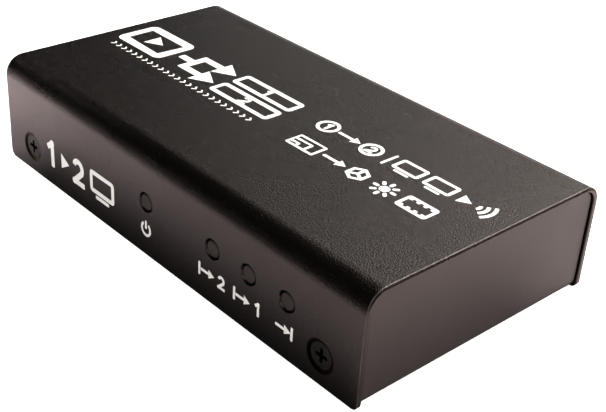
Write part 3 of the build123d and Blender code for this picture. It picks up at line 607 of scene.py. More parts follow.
@dataclass(frozen=True)
class BoardLacquer(Finish):
    """Green solder lacquer over copper tracks, with the glass weave faintly showing."""

    second: Colour = (0.022, 0.135, 0.05)
    spread: Span = (-0.05, 0.06)
    areas: float = 130.0
    scatter: float = 0.7
    tracks: float = 300.0
    track_edge: Span = (0.55, 0.70)
    along_below: float = 0.38
    across_above: float = 0.62
    weave: float = 620.0
    weave_bend: float = 0.6
    weave_share: float = 0.15
    relief: float = 0.02 * MM
    coat: float = 0.4
    coat_roughness: float = 0.15

    def detail(self, surface: Surface) -> None:
        """Adds groups of parallel tracks, the weave and a glossy coat.

        Args:
            surface: the material.
        """
        surface.set("Coat Weight", self.coat)
        surface.set("Coat Roughness", self.coat_roughness)
        tree = surface.tree
        sockets = {"Vector": surface.place, "Scale": self.areas, "Randomness": self.scatter}
        areas = tree.add("TexVoronoi", sockets, distance="CHEBYCHEV", feature="F1")
        choice = tree.add("SeparateColor", {"Color": areas.outputs["Color"]}).outputs[0]
        chosen = {
            "X": tree.calc("LESS_THAN", choice, self.along_below),
            "Y": tree.calc("GREATER_THAN", choice, self.across_above),
        }
        runs = []
        for axis, mask in chosen.items():
            sockets = {"Vector": surface.place, "Scale": self.tracks}
            wave = tree.add("TexWave", sockets, wave_type="BANDS", bands_direction=axis)
            runs.append(tree.calc("MULTIPLY", tree.remap(wave.outputs["Fac"], self.track_edge), mask))
        track = tree.calc("ADD", *runs)
        sockets = {"Vector": surface.place, "Scale": self.weave, "Distortion": self.weave_bend}
        weave = tree.add("TexWave", sockets, wave_type="BANDS", bands_direction="DIAGONAL").outputs["Fac"]
        self.vary(surface, track, weave)
        height = tree.calc("MULTIPLY_ADD", weave, self.weave_share, track)
        surface.bump(height, self.relief, strength=0.6)


@dataclass(frozen=True)
class LampEpoxy(Finish):
    """Smoke-tinted epoxy of an unlit lamp."""

    second: Colour = (0.020, 0.012, 0.010)
    spread: Span = (-0.05, 0.08)
    patches: float = 500.0
    wave: float = 900.0
    wave_span: Span = (0.35, 0.65)
    gloss: float = 0.3

    def detail(self, surface: Surface) -> None:
        """Adds cloudiness in the epoxy and a slightly uneven face.

        Args:
            surface: the material.
        """
        surface.set("Specular IOR Level", self.gloss)
        wave = surface.tree.noise(surface.place, self.wave)
        self.vary(surface, self.handling(surface), wave, self.wave_span)
        surface.bump(wave, depth=0.02 * MM, strength=0.4)


@dataclass(frozen=True)
class ScreenInk(Finish):
    """White screen-printed ink that follows the grain of the paint under it."""

    second: Colour = (0.62, 0.60, 0.58)
    patches: float = 120.0
    grains: float = 3600.0

    def detail(self, surface: Surface) -> None:
        """Adds the paint's grain, with the ink a little thin on its high spots.

        Args:
            surface: the material.
        """
        grain = surface.effect(Effect.SPRAYED_GRAIN, Grains=self.grains)
        self.vary(surface, grain.outputs["Speck"], self.handling(surface))
        surface.bump(grain.outputs["Height"], depth=0.02 * MM, strength=0.5)


BLACK = (0.0012, 0.0010, 0.0009)
COVER_PAINT = CoverPaint("black_paint", BLACK, 0.27)
TRAY_PAINT = SprayedPaint("black_paint", BLACK, 0.36)
SCREW = BlackedSteel("black_screw", (0.004, 0.004, 0.004), 0.34)
BOARD = BoardLacquer("board", (0.012, 0.085, 0.03), 0.35)
INK = ScreenInk("white_ink", (0.80, 0.78, 0.76), 0.5)
LAMP = LampEpoxy("light_lens", (0.014, 0.0095, 0.009), 0.42)
MOULDING = MouldedPlastic("black_moulding", (0.014, 0.014, 0.014), 0.45, (0.024, 0.024, 0.025))
CHIP = MouldedPlastic(
    "chip_moulding", (0.018, 0.018, 0.019), 0.55, (0.032, 0.032, 0.034), measures=12000.0, depth=0.008 * MM
)
PAD = MouldedPlastic(
    "pad", (0.34, 0.44, 0.52), 0.7, (0.42, 0.52, 0.60), measures=5000.0, depth=0.03 * MM
)
PLATED = PlatedMetal(
    "plated_steel", (0.66, 0.65, 0.62), 0.28, (0.50, 0.48, 0.45), measures=(2500.0, 2500.0, 2500.0)
)
TINNED = PlatedMetal(
    "tinned_lead", (0.74, 0.74, 0.73), 0.33, (0.58, 0.58, 0.57), measures=(6000.0, 6000.0, 6000.0)
)
JACK_METAL = PlatedMetal(
    "plated_brass", (0.80, 0.76, 0.64), 0.24, (0.66, 0.60, 0.46), measures=(7000.0, 700.0, 7000.0)
)
FINS = PlatedMetal(
    "black_aluminium", (0.035, 0.035, 0.037), 0.42, (0.055, 0.055, 0.058), measures=(900.0, 900.0, 9000.0)
)
CAN = PlatedMetal(
    "can_aluminium", (0.78, 0.78, 0.79), 0.26, (0.62, 0.62, 0.63), measures=(900.0, 900.0, 9000.0)
)
SOCKET_STEEL = PlatedMetal(
    "socket_steel", (0.70, 0.68, 0.64), 0.27, (0.54, 0.51, 0.47), measures=(700.0, 9000.0, 9000.0)
)
GOLD = PlatedMetal(
    "gold_contact", (0.86, 0.62, 0.24), 0.2, (0.72, 0.50, 0.20), measures=(9000.0, 900.0, 9000.0)
)
FERRITE = FiredBody("ferrite", (0.075, 0.075, 0.08), 0.5, (0.12, 0.12, 0.125))
FUSE = FiredBody("fuse_body", (0.03, 0.12, 0.05), 0.45, (0.05, 0.18, 0.08))
CERAMIC = FiredBody("capacitor_ceramic", (0.42, 0.30, 0.19), 0.35, (0.50, 0.38, 0.26))
RESISTOR = FiredBody("resistor_body", (0.03, 0.03, 0.034), 0.35, (0.07, 0.07, 0.075))


# Printed marks


class Face(Enum):
    """The faces of the cover that carry print, seen upright from outside."""

    TOP = "top"
    FRONT = "front"
    REAR = "rear"

    def placing(self) -> Matrix:
        """Gives the matrix from a drawing in metres to the face.

        Returns:
            Drawing X runs to the right, drawing Y upwards, drawing Z out of the face.
        """
        low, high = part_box("top_cover")
        upright = Matrix.Rotation(math.pi / 2, 4, "X")
        if self is Face.TOP:
            return Matrix.Translation((0.0, 0.0, high.z))
        if self is Face.FRONT:
            return Matrix.Translation((0.0, low.y, 0.0)) @ upright
        return Matrix.Translation((0.0, high.y, 0.0)) @ (Matrix.Rotation(math.pi, 4, "Z") @ upright)


def add_square(size: float) -> bpy.types.Object:
    """Adds a flat square at the origin, with nothing else selected.

    Args:
        size: its side, in metres.

    Returns:
        The square.
    """
    bpy.ops.object.select_all(action="DESELECT")
    bpy.ops.mesh.primitive_plane_add(size=size, location=(0.0, 0.0, 0.0))
    return bpy.context.object


@dataclass
class Drawing:
    """Flat marks on one face, in mm from its middle and up from its foot, joined into one piece of ink."""

    name: str
    face: Face
    stroke: float  # width of its lines
    marks: list[bpy.types.Object] = field(default_factory=list)
    corner_steps: int = 5
    disc_sides: int = 40
    arc_step: float = 8.0  # degrees
    least_arc_steps: int = 6
    line_rounding: float = 0.42  # of the line's width
    inner_merge: float = 1.6  # of the distance by which a rim is wider than its corners
    merge: float = 0.001  # distance within which corners are one

    def build(self) -> bpy.types.Object:
        """Draws the marks, joins them and lays them on the face.

        Returns:
            The finished piece.
        """
        self.draw()
        bpy.ops.object.select_all(action="DESELECT")
        for mark in self.marks:
            mark.select_set(True)
        bpy.context.view_layer.objects.active = self.marks[0]
        bpy.ops.object.join()
        piece = bpy.context.object
        piece.name = piece.data.name = self.name
        piece.data.transform(self.face.placing())
        piece.data.materials.clear()
        piece.data.materials.append(INK.material())
        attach(piece, BODY)
        return piece

    def draw(self) -> None:
        """Draws the marks."""
        raise NotImplementedError

    def pen(self, stroke: float) -> Self:
        """Gives the same drawing with lines of another width."""
        return replace(self, stroke=stroke)

    def plate(
        self, at: Point, size: Point, corner: float = 0.0, rim: float = 0.0, turn: float = 0.0
    ) -> None:
        """Draws a rectangle, filled or as a frame.

        Args:
            at: its middle.
            size: its width and height.
            corner: radius of its corners.
            rim: width of the frame, or 0 to fill it.
            turn: degrees that it is turned to the left.
        """
        add_square(1.0)
        bpy.ops.object.mode_set(mode="EDIT")
        bpy.ops.transform.resize(value=(size[0] * MM, size[1] * MM, 1.0))
        if corner:
            steps = self.corner_steps
            bpy.ops.mesh.bevel(offset=corner * MM, segments=steps, affect="VERTICES", clamp_overlap=True)
        self._keep(at, rim, corner, turn)

    def disc(self, at: Point, radius: float, rim: float = 0.0, sides: int = 0, turn: float = 0.0) -> None:
        """Draws a disc, a ring or a regular polygon.

        Args:
            at: its middle.
            radius: its outer radius.
            rim: width of the ring, or 0 to fill it.
            sides: number of a polygon's sides, or 0 for a disc.
            turn: degrees that it is turned to the left.
        """
        bpy.ops.object.select_all(action="DESELECT")
        corners = sides or self.disc_sides
        bpy.ops.mesh.primitive_circle_add(vertices=corners, radius=radius * MM, fill_type="NGON")
        bpy.ops.object.mode_set(mode="EDIT")
        self._keep(at, rim, turn=turn)

    def arc(self, at: Point, radius: float, start: float, sweep: float) -> None:
        """Draws part of a ring.

        Args:
            at: the ring's middle.
            radius: radius of the line's middle.
            start: where it starts, degrees from the right.
            sweep: degrees that it runs to the left.
        """
        shape = add_square(1.0).data
        bpy.ops.object.mode_set(mode="EDIT")
        edit = bmesh.from_edit_mesh(shape)
        spare = sorted(edit.verts, key=lambda v: v.co.y)[2:]
        bmesh.ops.delete(edit, geom=spare, context="VERTS")
        edge = sorted(edit.verts, key=lambda v: v.co.x)
        angle = math.radians(start)
        for vert, reach in zip(edge, (radius - self.stroke / 2, radius + self.stroke / 2)):
            vert.co = (reach * MM * math.cos(angle), reach * MM * math.sin(angle), 0.0)
            vert.select = True
        edit.select_flush(True)
        bmesh.update_edit_mesh(shape)
        steps, turn = max(self.least_arc_steps, round(sweep / self.arc_step)), math.radians(-sweep)
        bpy.ops.mesh.spin(steps=steps, angle=turn, center=(0.0, 0.0, 0.0), axis=(0.0, 0.0, 1.0))
        self._keep(at)

    def line(self, start: Point, end: Point, corner: float | None = None) -> None:
        """Draws a straight stroke.

        Args:
            start: one end.
            end: the other end.
            corner: radius of its corners, a little under half its width if left out.
        """
        run, middle = Vector(end) - Vector(start), (Vector(end) + Vector(start)) / 2
        rounding = self.stroke * self.line_rounding if corner is None else corner
        turn = math.degrees(math.atan2(run.y, run.x))
        self.plate((middle.x, middle.y), (run.length + self.stroke, self.stroke), rounding, turn=turn)

    def repeat(self, marks: int, copies: int, pitch: float) -> None:
        """Repeats the last marks in a row towards the right.

        Args:
            marks: how many of the last marks.
            copies: how often each one stands in the row.
            pitch: from one copy to the next.
        """
        for mark in self.marks[-marks:]:
            bpy.context.view_layer.objects.active = mark
            row = mark.modifiers.new("row", "ARRAY")
            row.count, row.use_relative_offset, row.use_constant_offset = copies, False, True
            row.constant_offset_displace = (pitch * MM, 0.0, 0.0)
            bpy.ops.object.modifier_apply(modifier=row.name)

    def _keep(self, at: Point, rim: float = 0.0, corner: float = 0.0, turn: float = 0.0) -> None:
        """Hollows, turns and moves the mark in edit mode, gives it the ink's depth and keeps it.

        Each mark stands a hair higher than the last, so that no two tops lie in one plane.

        Args:
            at: where its middle goes.
            rim: width of the rim that stays, or 0 to leave the mark whole.
            corner: radius of the rim's corners; inside a wider rim they come out sharp.
            turn: degrees that it is turned to the left.
        """
        bpy.ops.mesh.select_all(action="SELECT")
        if rim:
            bpy.ops.mesh.inset(thickness=rim * MM, depth=0.0, use_even_offset=True)
            if 0.0 < corner < rim:
                bpy.ops.mesh.remove_doubles(threshold=(rim - corner) * self.inner_merge * MM)
            bpy.ops.mesh.delete(type="FACE")
            bpy.ops.mesh.select_all(action="SELECT")
        if turn:
            angle = -math.radians(turn)
            bpy.ops.transform.rotate(value=angle, orient_axis="Z", center_override=(0.0, 0.0, 0.0))
        bpy.ops.transform.translate(value=(at[0] * MM, at[1] * MM, 0.0))
        bpy.ops.mesh.remove_doubles(threshold=self.merge * MM)
        bpy.ops.object.mode_set(mode="OBJECT")
        mark = bpy.context.object
        edit = bmesh.new()
        edit.from_mesh(mark.data)
        edit.normal_update()
        bmesh.ops.reverse_faces(edit, faces=[face for face in edit.faces if face.normal.z < 0.0])
        edit.to_mesh(mark.data)
        edit.free()
        solid = mark.modifiers.new("depth", "SOLIDIFY")
        solid.thickness, solid.offset = (INK_DEPTH + INK_STEP * len(self.marks)) * MM, INK_SUNK
        bpy.ops.object.modifier_apply(modifier=solid.name)
        self.marks.append(mark)


@dataclass
class Pictograms(Drawing):
    """Plain signs that stand for what the box does."""

    def numeral(self, digit: int, at: Point, height: float) -> None:
        """Draws a plain 1 or 2.

        Args:
            digit: the number.
            at: its middle.
            height: its height.
        """
        x, y = at
        top, foot = y + (height - self.stroke) / 2, y - (height - self.stroke) / 2
        square, blunt = self.stroke * 0.15, self.stroke * 0.3
        if digit == 1:
            stem, flag, drop = x + height * 0.08, x - height * 0.14, height * 0.16
            self.line((stem, foot), (stem, top), square)
            self.line((flag, top - drop), (stem, top), square)
            return
        bow, half = height * 0.24, height * 0.26
        self.arc((x, top - bow), bow, start=-38.0, sweep=205.0)
        self.line((x - half, foot), (x + bow * 0.79, top - bow * 1.62), blunt)
        self.line((x - half, foot), (x + half, foot), square)

    def ringed(self, digit: int, at: Point, height: float) -> None:
        """Draws a number in a ring."""
        self.disc(at, height / 2, self.stroke)
        self.pen(self.stroke * 0.85).numeral(digit, at, height * 0.54)

    def screen(self, at: Point, width: float, height: float) -> None:
        """Draws a screen on its foot.

        Args:
            at: their middle.
            width: its width.
            height: its height with the foot.
        """
        x, y = at
        foot, base, thin, blunt = height * 0.18, width * 0.55, self.stroke * 0.8, self.stroke * 0.3
        self.plate((x, y + foot / 2), (width, height - foot), self.stroke * 0.9, self.stroke)
        self.plate((x, y - height / 2 + thin / 2), (base, thin), blunt)

    def play(self, at: Point, radius: float) -> None:
        """Draws a filled triangle that points right."""
        self.disc(at, radius, sides=3, turn=-90.0)

    def arrow(self, at: Point, length: float) -> None:
        """Draws an arrow that points right.

        Args:
            at: its middle.
            length: its length.
        """
        x, y = at
        head, tip = self.stroke * 1.9, x + length / 2
        self.line((x - length / 2, y), (tip - head, y), self.stroke * 0.2)
        self.play((tip - head * 0.62, y), head)

    def waves(self, at: Point, height: float) -> None:
        """Draws three arcs that spread to the right."""
        for share in (0.22, 0.5, 0.78):
            self.arc((at[0] - height * 0.4, at[1]), height * share, start=-38.0, sweep=76.0)

    def nested(self, at: Point, size: Point) -> None:
        """Draws frames that grow from their lower left corner.

        Args:
            at: the middle of the largest.
            size: its width and height.
        """
        for share in (0.38, 0.68, 1.0):
            middle = tuple(place - part * (1.0 - share) / 2 for place, part in zip(at, size))
            self.plate(middle, (size[0] * share, size[1] * share), self.stroke * 0.6, self.stroke)

    def rays(
        self, at: Point, count: int, reach: Span, start: float = 0.0, corner: float | None = None
    ) -> None:
        """Draws strokes that run outwards at even angles.

        Args:
            at: the middle.
            count: how many strokes.
            reach: where they start and end, from the middle.
            start: angle of the first, degrees from the right.
            corner: radius of their corners, as a line's.
        """
        for i in range(count):
            angle = math.radians(start) + math.tau * i / count
            ends = [(at[0] + math.cos(angle) * away, at[1] + math.sin(angle) * away) for away in reach]
            self.line(*ends, corner)

    def cube(self, at: Point, height: float) -> None:
        """Draws a cube seen from a corner."""
        self.disc(at, height / 2, self.stroke, sides=6)
        self.rays(at, 3, (0.0, height / 2 - self.stroke), start=-30.0, corner=0.0)

    def sun(self, at: Point, height: float) -> None:
        """Draws a disc with eight rays."""
        self.disc(at, height * 0.2)
        self.rays(at, 8, (height * 0.34, height * 0.46))

    def film(self, at: Point, size: Point) -> None:
        """Draws a strip of film with four holes along each edge.

        Args:
            at: its middle.
            size: its width and height.
        """
        corner, left, rise, hole, hole_corner, pitch = 0.6, 2.2, 1.15, (0.7, 0.5), 0.1, 1.46
        self.plate(at, size, corner, self.stroke)
        for edge in (rise, -rise):
            self.plate((at[0] - left, at[1] + edge), hole, hole_corner)
            self.repeat(1, 4, pitch)

    def power(self, at: Point, height: float) -> None:
        """Draws the ring and bar of a power sign."""
        self.arc((at[0], at[1] - height * 0.05), height * 0.42, start=125.0, sweep=290.0)
        self.line((at[0], at[1] + height * 0.05), (at[0], at[1] + height * 0.45))

    def direct_current(self, at: Point) -> None:
        """Draws a line over three dashes.

        Args:
            at: their middle.
        """
        x, y = at
        half, rise, dash, pitch, corner = 1.6, 0.6, 0.25, 1.35, 0.1
        self.line((x - half, y + rise), (x + half, y + rise), corner)
        for middle in (x - pitch, x, x + pitch):
            self.line((middle - dash, y - rise), (middle + dash, y - rise), corner)


@dataclass
class TopFork(Pictograms):
    """A source whose line forks to two numbered screens, over a fine ruled line."""

    name: str = "print_top_fork"
    face: Face = Face.TOP
    stroke: float = 1.52
    middle: float = 1.2
    spread: float = 2.632
    source_at: float = -38.0
    source_size: Point = (13.2, 9.4)
    source_rim: Point = (1.4, 1.9)  # corner and width
    play_at: float = -38.2
    play_radius: float = 2.3
    stem_from: float = -29.2
    stem_corner: float = 0.2
    fork_at: float = -26.0
    fork_corner: float = 0.5
    arrow_at: float = -22.0
    arrow_length: float = 8.0
    screen_at: float = -8.0
    screen_size: Point = (15.6, 4.23)
    screen_rim: Point = (0.8, 0.95)
    digit_height: float = 2.632
    digit_stroke: float = 0.6
    rule_at: Point = (-42.4, -5.5)
    rule_mark: float = 0.5
    rule_stroke: float = 0.3
    rule_marks: int = 25
    rule_pitch: float = 1.68

    def draw(self) -> None:
        """Draws the source, the fork, the screens and the ruled line."""
        mid, high, low = self.middle, self.middle + self.spread, self.middle - self.spread
        self.plate((self.source_at, mid), self.source_size, *self.source_rim)
        self.play((self.play_at, mid), self.play_radius)
        self.line((self.stem_from, mid), (self.fork_at, mid), self.stem_corner)
        self.line((self.fork_at, low), (self.fork_at, high), self.fork_corner)
        for digit, y in ((1, high), (2, low)):
            self.arrow((self.arrow_at, y), self.arrow_length)
            self.plate((self.screen_at, y), self.screen_size, *self.screen_rim)
            self.pen(self.digit_stroke).numeral(digit, (self.screen_at, y), self.digit_height)
        x, y = self.rule_at
        fine = self.pen(self.rule_stroke)
        for start in (y + self.rule_mark, y - self.rule_mark):
            fine.line((x, start), (x + self.rule_mark, y))
        self.repeat(2, self.rule_marks, self.rule_pitch)


@dataclass
class TopRows(Pictograms):
    """Two rows of small signs at the right of the top."""

    name: str = "print_top_rows"
    face: Face = Face.TOP
    stroke: float = 0.62
    thin_stroke: float = 0.558
    bar_stroke: float = 0.496
    upper: float = 3.7
    lower: float = -3.8
    upper_places: tuple[float, ...] = (7.9, 13.0, 18.2, 22.3, 26.6, 33.2, 38.2, 42.0)
    lower_places: tuple[float, ...] = (10.7, 17.3, 22.7, 28.6, 35.4)
    height: float = 4.3
    sun_height: float = 4.515
    arrow_length: float = 4.4
    bar_half: float = 1.806
    screen_width: float = 5.6
    play_radius: float = 1.5
    nested_size: Point = (6.4, 3.9)
    film_size: Point = (6.2, 3.9)

    def draw(self) -> None:
        """Draws both rows from left to right."""
        first, arrow, second, bar, *screens, play, waves = ((x, self.upper) for x in self.upper_places)
        self.ringed(1, first, self.height)
        self.arrow(arrow, self.arrow_length)
        self.ringed(2, second, self.height)
        ends = [(bar[0], bar[1] + rise) for rise in (-self.bar_half, self.bar_half)]
        self.pen(self.bar_stroke).line(*ends)
        for screen in screens:
            self.screen(screen, self.screen_width, self.height)
        self.play(play, self.play_radius)
        self.waves(waves, self.height)
        nested, arrow, cube, sun, film = ((x, self.lower) for x in self.lower_places)
        thin = self.pen(self.thin_stroke)
        thin.nested(nested, self.nested_size)
        self.arrow(arrow, self.arrow_length)
        thin.cube(cube, self.height)
        self.sun(sun, self.sun_height)
        thin.film(film, self.film_size)


@dataclass
class FrontMark(Pictograms):
    """A bold mark at the left of the front: one, on to two, and a screen."""

    name: str = "print_front_mark"
    face: Face = Face.FRONT
    stroke: float = 0.84
    digit_stroke: float = 1.05
    middle: float = 6.5
    height: float = 5.3
    places: tuple[float, ...] = (-32.7, -28.4, -23.7, -16.2)
    play_radius: float = 1.7
    screen_width: float = 7.4

    def draw(self) -> None:
        """Draws the mark from left to right."""
        one, play, two, screen = ((x, self.middle) for x in self.places)
        bold = self.pen(self.digit_stroke)
        bold.numeral(1, one, self.height)
        self.play(play, self.play_radius)
        bold.numeral(2, two, self.height)
        self.screen(screen, self.screen_width, self.height)


@dataclass
class PortSigns(Pictograms):
    """Signs for the video sockets: a bar with an arrow into it or out of it, and an output's number."""

    bar_half: float = 0.95
    bar_corner: float = 0.1
    arrow_length: float = 2.8
    digit_height: float = 2.5
    digit_at: float = 2.4
    into: Point = (1.5, -0.5)  # places of bar and arrow at an input, from the sign's middle
    out: Point = (-3.1, -1.1)  # the same at an output

    def port(self, socket: str, at: Point) -> None:
        """Draws one socket's sign.

        Args:
            socket: the socket's name.
            at: the sign's middle.
        """
        x, y = at
        bar, arrow = self.into if socket == "input" else self.out
        self.line((x + bar, y - self.bar_half), (x + bar, y + self.bar_half), self.bar_corner)
        self.arrow((x + arrow, y), self.arrow_length)
        if socket != "input":
            self.numeral(int(socket[-1]), (x + self.digit_at, y), self.digit_height)


@dataclass
class LightSigns(PortSigns):
    """A sign under each light on the front."""

    name: str = "print_light_signs"
    face: Face = Face.FRONT
    stroke: float = 0.5
    drop: float = 4.9
    power_height: float = 2.75

    def draw(self) -> None:
        """Draws the signs under the lights."""
        for light in LIGHTS:
            spot = sum(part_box(light + "_light"), Vector()) / 2 / MM
            at = (spot.x, spot.z - self.drop)
            if light == "power":
                self.power(at, self.power_height)
            else:
                self.port(light, at)


@dataclass
class RearSigns(PortSigns):
    """Signs over the video sockets on the rear, and one beside the power jack."""

    name: str = "print_rear_signs"
    face: Face = Face.REAR
    stroke: float = 0.45
    bar_half: float = 0.9
    arrow_length: float = 2.6
    digit_height: float = 2.3
    into: Point = (1.5, -0.2)
    out: Point = (-2.2, -0.4)
    middle: float = 14.1
    jack_side: float = 4.0  # from the jack's edge
    jack_rise: float = 1.0  # from the jack's middle

    def draw(self) -> None:
        """Draws the sockets' signs and the jack's."""
        for socket in VIDEO_SOCKETS:
            low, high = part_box(socket + "_socket_shell")
            self.port(socket, (-(low.x + high.x) / 2 / MM, self.middle))
        low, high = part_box("power_jack_body")
        self.direct_current((-low.x / MM + self.jack_side, (low.z + high.z) / 2 / MM + self.jack_rise))


# Sub-assemblies


@dataclass
class SubAssembly:
    """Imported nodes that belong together, with the finish that each one gets."""

    title: str
    finishes: dict[str, Finish]

    def dress(self) -> None:
        """Gives every node its finish."""
        for name, finish in self.finishes.items():
            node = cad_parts[name]
            skins = node.data.materials
            if not skins:
                skins.append(None)
            for i in range(len(skins)):
                skins[i] = finish.material()
            LOG.info("%s: %s is %s", self.title, name, finish.slot)


def per_socket(part: str, finish: Finish) -> dict[str, Finish]:
    """Gives the same finish to one part of each video socket."""
    return {f"{name}_socket_{part}": finish for name in VIDEO_SOCKETS}


@dataclass
class Enclosure(SubAssembly):
    """The folded cover and tray, and their screws."""

    title: str = "enclosure"
    finishes: dict[str, Finish] = field(default_factory=lambda: {
        "top_cover": COVER_PAINT, "base_tray": TRAY_PAINT,
        "front_cover_screws": SCREW, "rear_cover_screws": SCREW,
    })


@dataclass
class StatusLights(SubAssembly):
    """The four lamps with their holders and leads."""

    title: str = "status lights"
    finishes: dict[str, Finish] = field(default_factory=lambda: {
        **{name + "_light": LAMP for name in LIGHTS}, "light_holders": MOULDING, "light_leads": TINNED,
    })


@dataclass
class RearSockets(SubAssembly):
    """The three video sockets and the power jack."""

    title: str = "rear sockets"
    finishes: dict[str, Finish] = field(default_factory=lambda: {
        **per_socket("shell", SOCKET_STEEL), **per_socket("insulator", MOULDING),
        **per_socket("contacts", GOLD), "power_jack_body": MOULDING,
        "power_jack_pin": JACK_METAL, "power_jack_spring": JACK_METAL,
    })


@dataclass
class BoardAssembly(SubAssembly):
    """The circuit board, what it stands on and what is soldered to it."""

    title: str = "board"
    finishes: dict[str, Finish] = field(default_factory=lambda: {
        "circuit_board": BOARD, "board_standoffs": PLATED, "board_screws": PLATED,
        "splitter_chip": CHIP, "splitter_chip_leads": TINNED, "thermal_pad": PAD, "heatsink": FINS,
        "controller_chip": CHIP, "controller_chip_leads": TINNED,
        "memory_chip": CHIP, "memory_chip_leads": TINNED,
        "voltage_regulators": CHIP, "voltage_regulator_leads": TINNED, "clock_crystal": PLATED,
        "power_inductors": FERRITE, "capacitor_bases": MOULDING, "capacitor_cans": CAN,
        "input_fuse": FUSE, "protection_diode": CHIP, "protection_diode_leads": TINNED,
        "surge_arrays": CHIP, "ceramic_capacitors": CERAMIC, "small_resistors": RESISTOR,
    })


# Studio


@dataclass(frozen=True)
class SoftBox:
    """A square soft light, with a grid that keeps its light within an angle."""

    name: str
    turn: float  # degrees from straight behind the object towards its left
    elevation: float
    distance: float
    width: float
    power: float
    aim: tuple[float, float, float] = (0.0, 0.0, 0.0)
    spread: float = 180.0
    colour: Colour = (1.0, 1.0, 1.0)

    def build(self) -> None:
        """Adds the light."""
        lamp = bpy.data.lights.new(self.name, "AREA")
        lamp.shape, lamp.size, lamp.energy, lamp.color = "SQUARE", self.width, self.power, self.colour
        lamp.spread = math.radians(self.spread)
        light = bpy.data.objects.new(self.name, lamp)
        bpy.context.scene.collection.objects.link(light)
        turn, up = math.radians(self.turn), math.radians(self.elevation)
        away = Vector((-math.sin(turn) * math.cos(up), math.cos(turn) * math.cos(up), math.sin(up)))
        light.location = Vector(self.aim) + away * self.distance
        light.rotation_euler = away.to_track_quat("Z", "Y").to_euler()


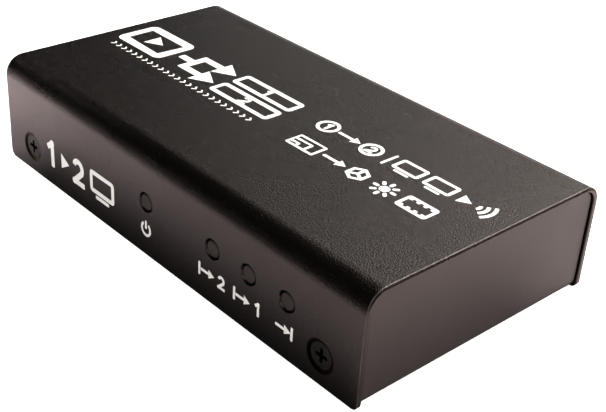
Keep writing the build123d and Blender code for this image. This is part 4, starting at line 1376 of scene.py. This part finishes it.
@dataclass(frozen=True)
class Studio:
    """A pale floor, soft light and the camera at the photograph's angle."""

    floor_size: float = 6.0
    floor_colour: Colour = (0.80, 0.79, 0.78)
    floor_roughness: float = 0.9
    floor_gloss: float = 0.1
    floor_lift: float = 0.70
    mottle_scale: float = 9.0
    mottle_gain: float = 1.03
    # painted warm tint of the floor where glossy paint mirrors it
    mirrored_tint: Colour = (1.0, 0.90, 0.93)
    # Tones of what glossy paint mirrors, painted shade: dark far in front, and a painted contact shadow at
    # the foot of the front and of the right end.
    flag: Span = (-0.066, -0.042)  # along Y, from dark far in front to pale
    flag_tone: float = 0.03
    foot_reach: float = 0.014
    foot_tone: float = 0.13
    left: Span = (-0.052, -0.030)  # along X, from pale at the left end to the front's own tone
    left_tone: float = 0.9
    end_reach: float = 0.030
    end_tone: float = 0.32
    end_edge: float = 1.0 * MM
    back: Span = (-0.010, 0.035)  # along Y, from dark beside the right end to pale
    back_tone: float = 0.80
    room_light: float = 0.6
    room_mirrored: float = 0.012
    azimuth: float = 46.31
    elevation: float = 30.36
    roll: float = 3.83
    focal_pixels: float = 1142.0
    image_width: float = 606.0
    sensor: float = 36.0
    clip: Span = (0.01, 20.0)
    position: tuple[float, float, float] = (0.1302, -0.1178, 0.1052)
    boxes: tuple[SoftBox, ...] = (
        SoftBox("key_light", -38.0, 44.0, 0.70, 0.30, 10.0, colour=(1.0, 0.94, 0.88)),
        SoftBox("sheen_light", 6.0, 42.0, 0.60, 0.36, 2.2, colour=(1.0, 0.95, 0.90)),
        SoftBox("low_light", 44.0, 7.5, 0.60, 0.24, 0.10, colour=(1.0, 0.96, 0.93)),
        SoftBox("fill_light", -120.0, 35.0, 0.80, 0.60, 2.5, colour=(1.0, 0.97, 0.96)),
        SoftBox("left_light", 0.0, 90.0, 0.16, 0.10, 0.18, (-0.120, -0.092, 0.0), 60.0, (1.0, 0.93, 0.91)),
    )

    def build(self) -> None:
        """Builds floor, lights, world and camera."""
        self._floor()
        for box in self.boxes:
            box.build()
        self._world()
        self._camera()

    def _floor(self) -> None:
        """Adds the floor, pale in itself and flagged off where glossy paint mirrors it.

        The photograph's background is cut out, so what its paint mirrors is darker than what is seen:
        dark far in front, and dark close by at the foot of the front and of the right end.
        """
        floor = add_square(self.floor_size)
        floor.name = "floor"
        paint = bpy.data.materials.new("floor_paint")
        paint.use_nodes = True
        surface = Surface(paint)
        surface.set("Roughness", self.floor_roughness)
        surface.set("Specular IOR Level", self.floor_gloss)
        tree = surface.tree
        paler = tuple(min(1.0, part * self.mottle_gain) for part in self.floor_colour)
        seen = tree.blend(tree.noise(surface.place, self.mottle_scale), self.floor_colour, paler)
        tinted = tree.add("VectorMath", {0: seen, 1: self.mirrored_tint}, operation="MULTIPLY").outputs[0]
        mirrored = tree.add("VectorMath", {0: tinted, "Scale": self._shade(surface)}, operation="SCALE")
        path = tree.add("LightPath")
        mix = tree.add("Mix", {"Factor": path.outputs["Is Glossy Ray"]}, data_type="RGBA")
        tree.join(seen, mix.inputs["A"])
        tree.join(mirrored.outputs[0], mix.inputs["B"])
        surface.feed("Base Color", mix.outputs["Result"])
        surface.set("Emission Color", (1.0, 1.0, 1.0, 1.0))
        glow = tree.calc("MULTIPLY", path.outputs["Is Camera Ray"], self.floor_lift)
        surface.feed("Emission Strength", glow)
        floor.data.materials.append(paint)

    def _shade(self, surface: Surface) -> Socket:
        """Adds the nodes that flag the floor off.

        Args:
            surface: the floor's material.

        Returns:
            How much of the floor's tone is mirrored.
        """
        tree, along, across = surface.tree, surface.axis("X"), surface.axis("Y")
        low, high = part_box("top_cover")
        # Painted shade in what glossy paint mirrors: dark far in front, a painted contact shadow at the foot
        # of the front and of the right end, paler towards the left end and behind the right end.
        near = tree.remap(across, self.flag, (self.flag_tone, 1.0))
        foot = tree.remap(across, (low.y - self.foot_reach, low.y), (1.0, self.foot_tone))
        foot = tree.calc("MAXIMUM", foot, tree.remap(along, self.left, (self.left_tone, 0.0)))
        beside = tree.remap(along, (high.x - self.end_edge, high.x + self.end_edge))
        end_foot = tree.remap(along, (high.x, high.x + self.end_reach), (self.end_tone, 1.0))
        end_back = tree.remap(across, self.back, (0.0, self.back_tone))
        at_end = tree.calc("MULTIPLY", beside, tree.calc("MAXIMUM", end_foot, end_back))
        return tree.calc("MULTIPLY", near, tree.calc("MAXIMUM", foot, at_end))

    def _world(self) -> None:
        """Gives the room its light: pale where it is seen or lights dull surfaces, dim where mirrored."""
        world = bpy.data.worlds.new("room")
        bpy.context.scene.world = world
        world.use_nodes = True
        tree = ShaderTree(world.node_tree)
        path = tree.add("LightPath").outputs
        lit = tree.calc("MULTIPLY", path["Is Diffuse Ray"], self.room_light)
        seen = tree.calc("MAXIMUM", path["Is Camera Ray"], lit)
        room = world.node_tree.nodes["Background"]
        room.inputs["Color"].default_value = (1.0, 1.0, 1.0, 1.0)
        tree.join(tree.calc("MAXIMUM", seen, self.room_mirrored), room.inputs["Strength"])

    def _camera(self) -> None:
        """Adds the camera where the photograph was taken from."""
        data = bpy.data.cameras.new("camera")
        data.sensor_width = self.sensor
        data.sensor_fit = "HORIZONTAL"
        data.lens = self.focal_pixels / self.image_width * self.sensor
        data.clip_start, data.clip_end = self.clip
        camera = bpy.data.objects.new("camera", data)
        bpy.context.scene.collection.objects.link(camera)
        turn, up, roll = (math.radians(angle) for angle in (self.azimuth, self.elevation, self.roll))
        back = Vector((math.sin(turn) * math.cos(up), -math.cos(turn) * math.cos(up), math.sin(up)))
        level = Vector((math.cos(turn), math.sin(turn), 0.0))
        upright = back.cross(level)
        right = math.cos(roll) * level + math.sin(roll) * upright
        above = math.cos(roll) * upright - math.sin(roll) * level
        axes = Matrix((right, above, back)).transposed().to_4x4()
        camera.matrix_world = Matrix.Translation(self.position) @ axes
        bpy.context.scene.camera = camera


def main() -> None:
    """Builds the looks, piece by piece."""
    logging.basicConfig(level=logging.INFO, format="%(message)s")
    bpy.context.scene.view_settings.view_transform = "Standard"
    for assembly in (Enclosure(), StatusLights(), RearSockets(), BoardAssembly()):
        assembly.dress()
    for printed in (TopFork(), TopRows(), FrontMark(), LightSigns(), RearSigns()):
        piece = printed.build()
        LOG.info("print: %s with %d faces", piece.name, len(piece.data.polygons))
    Studio().build()


if __name__ == "__main__":
    main()
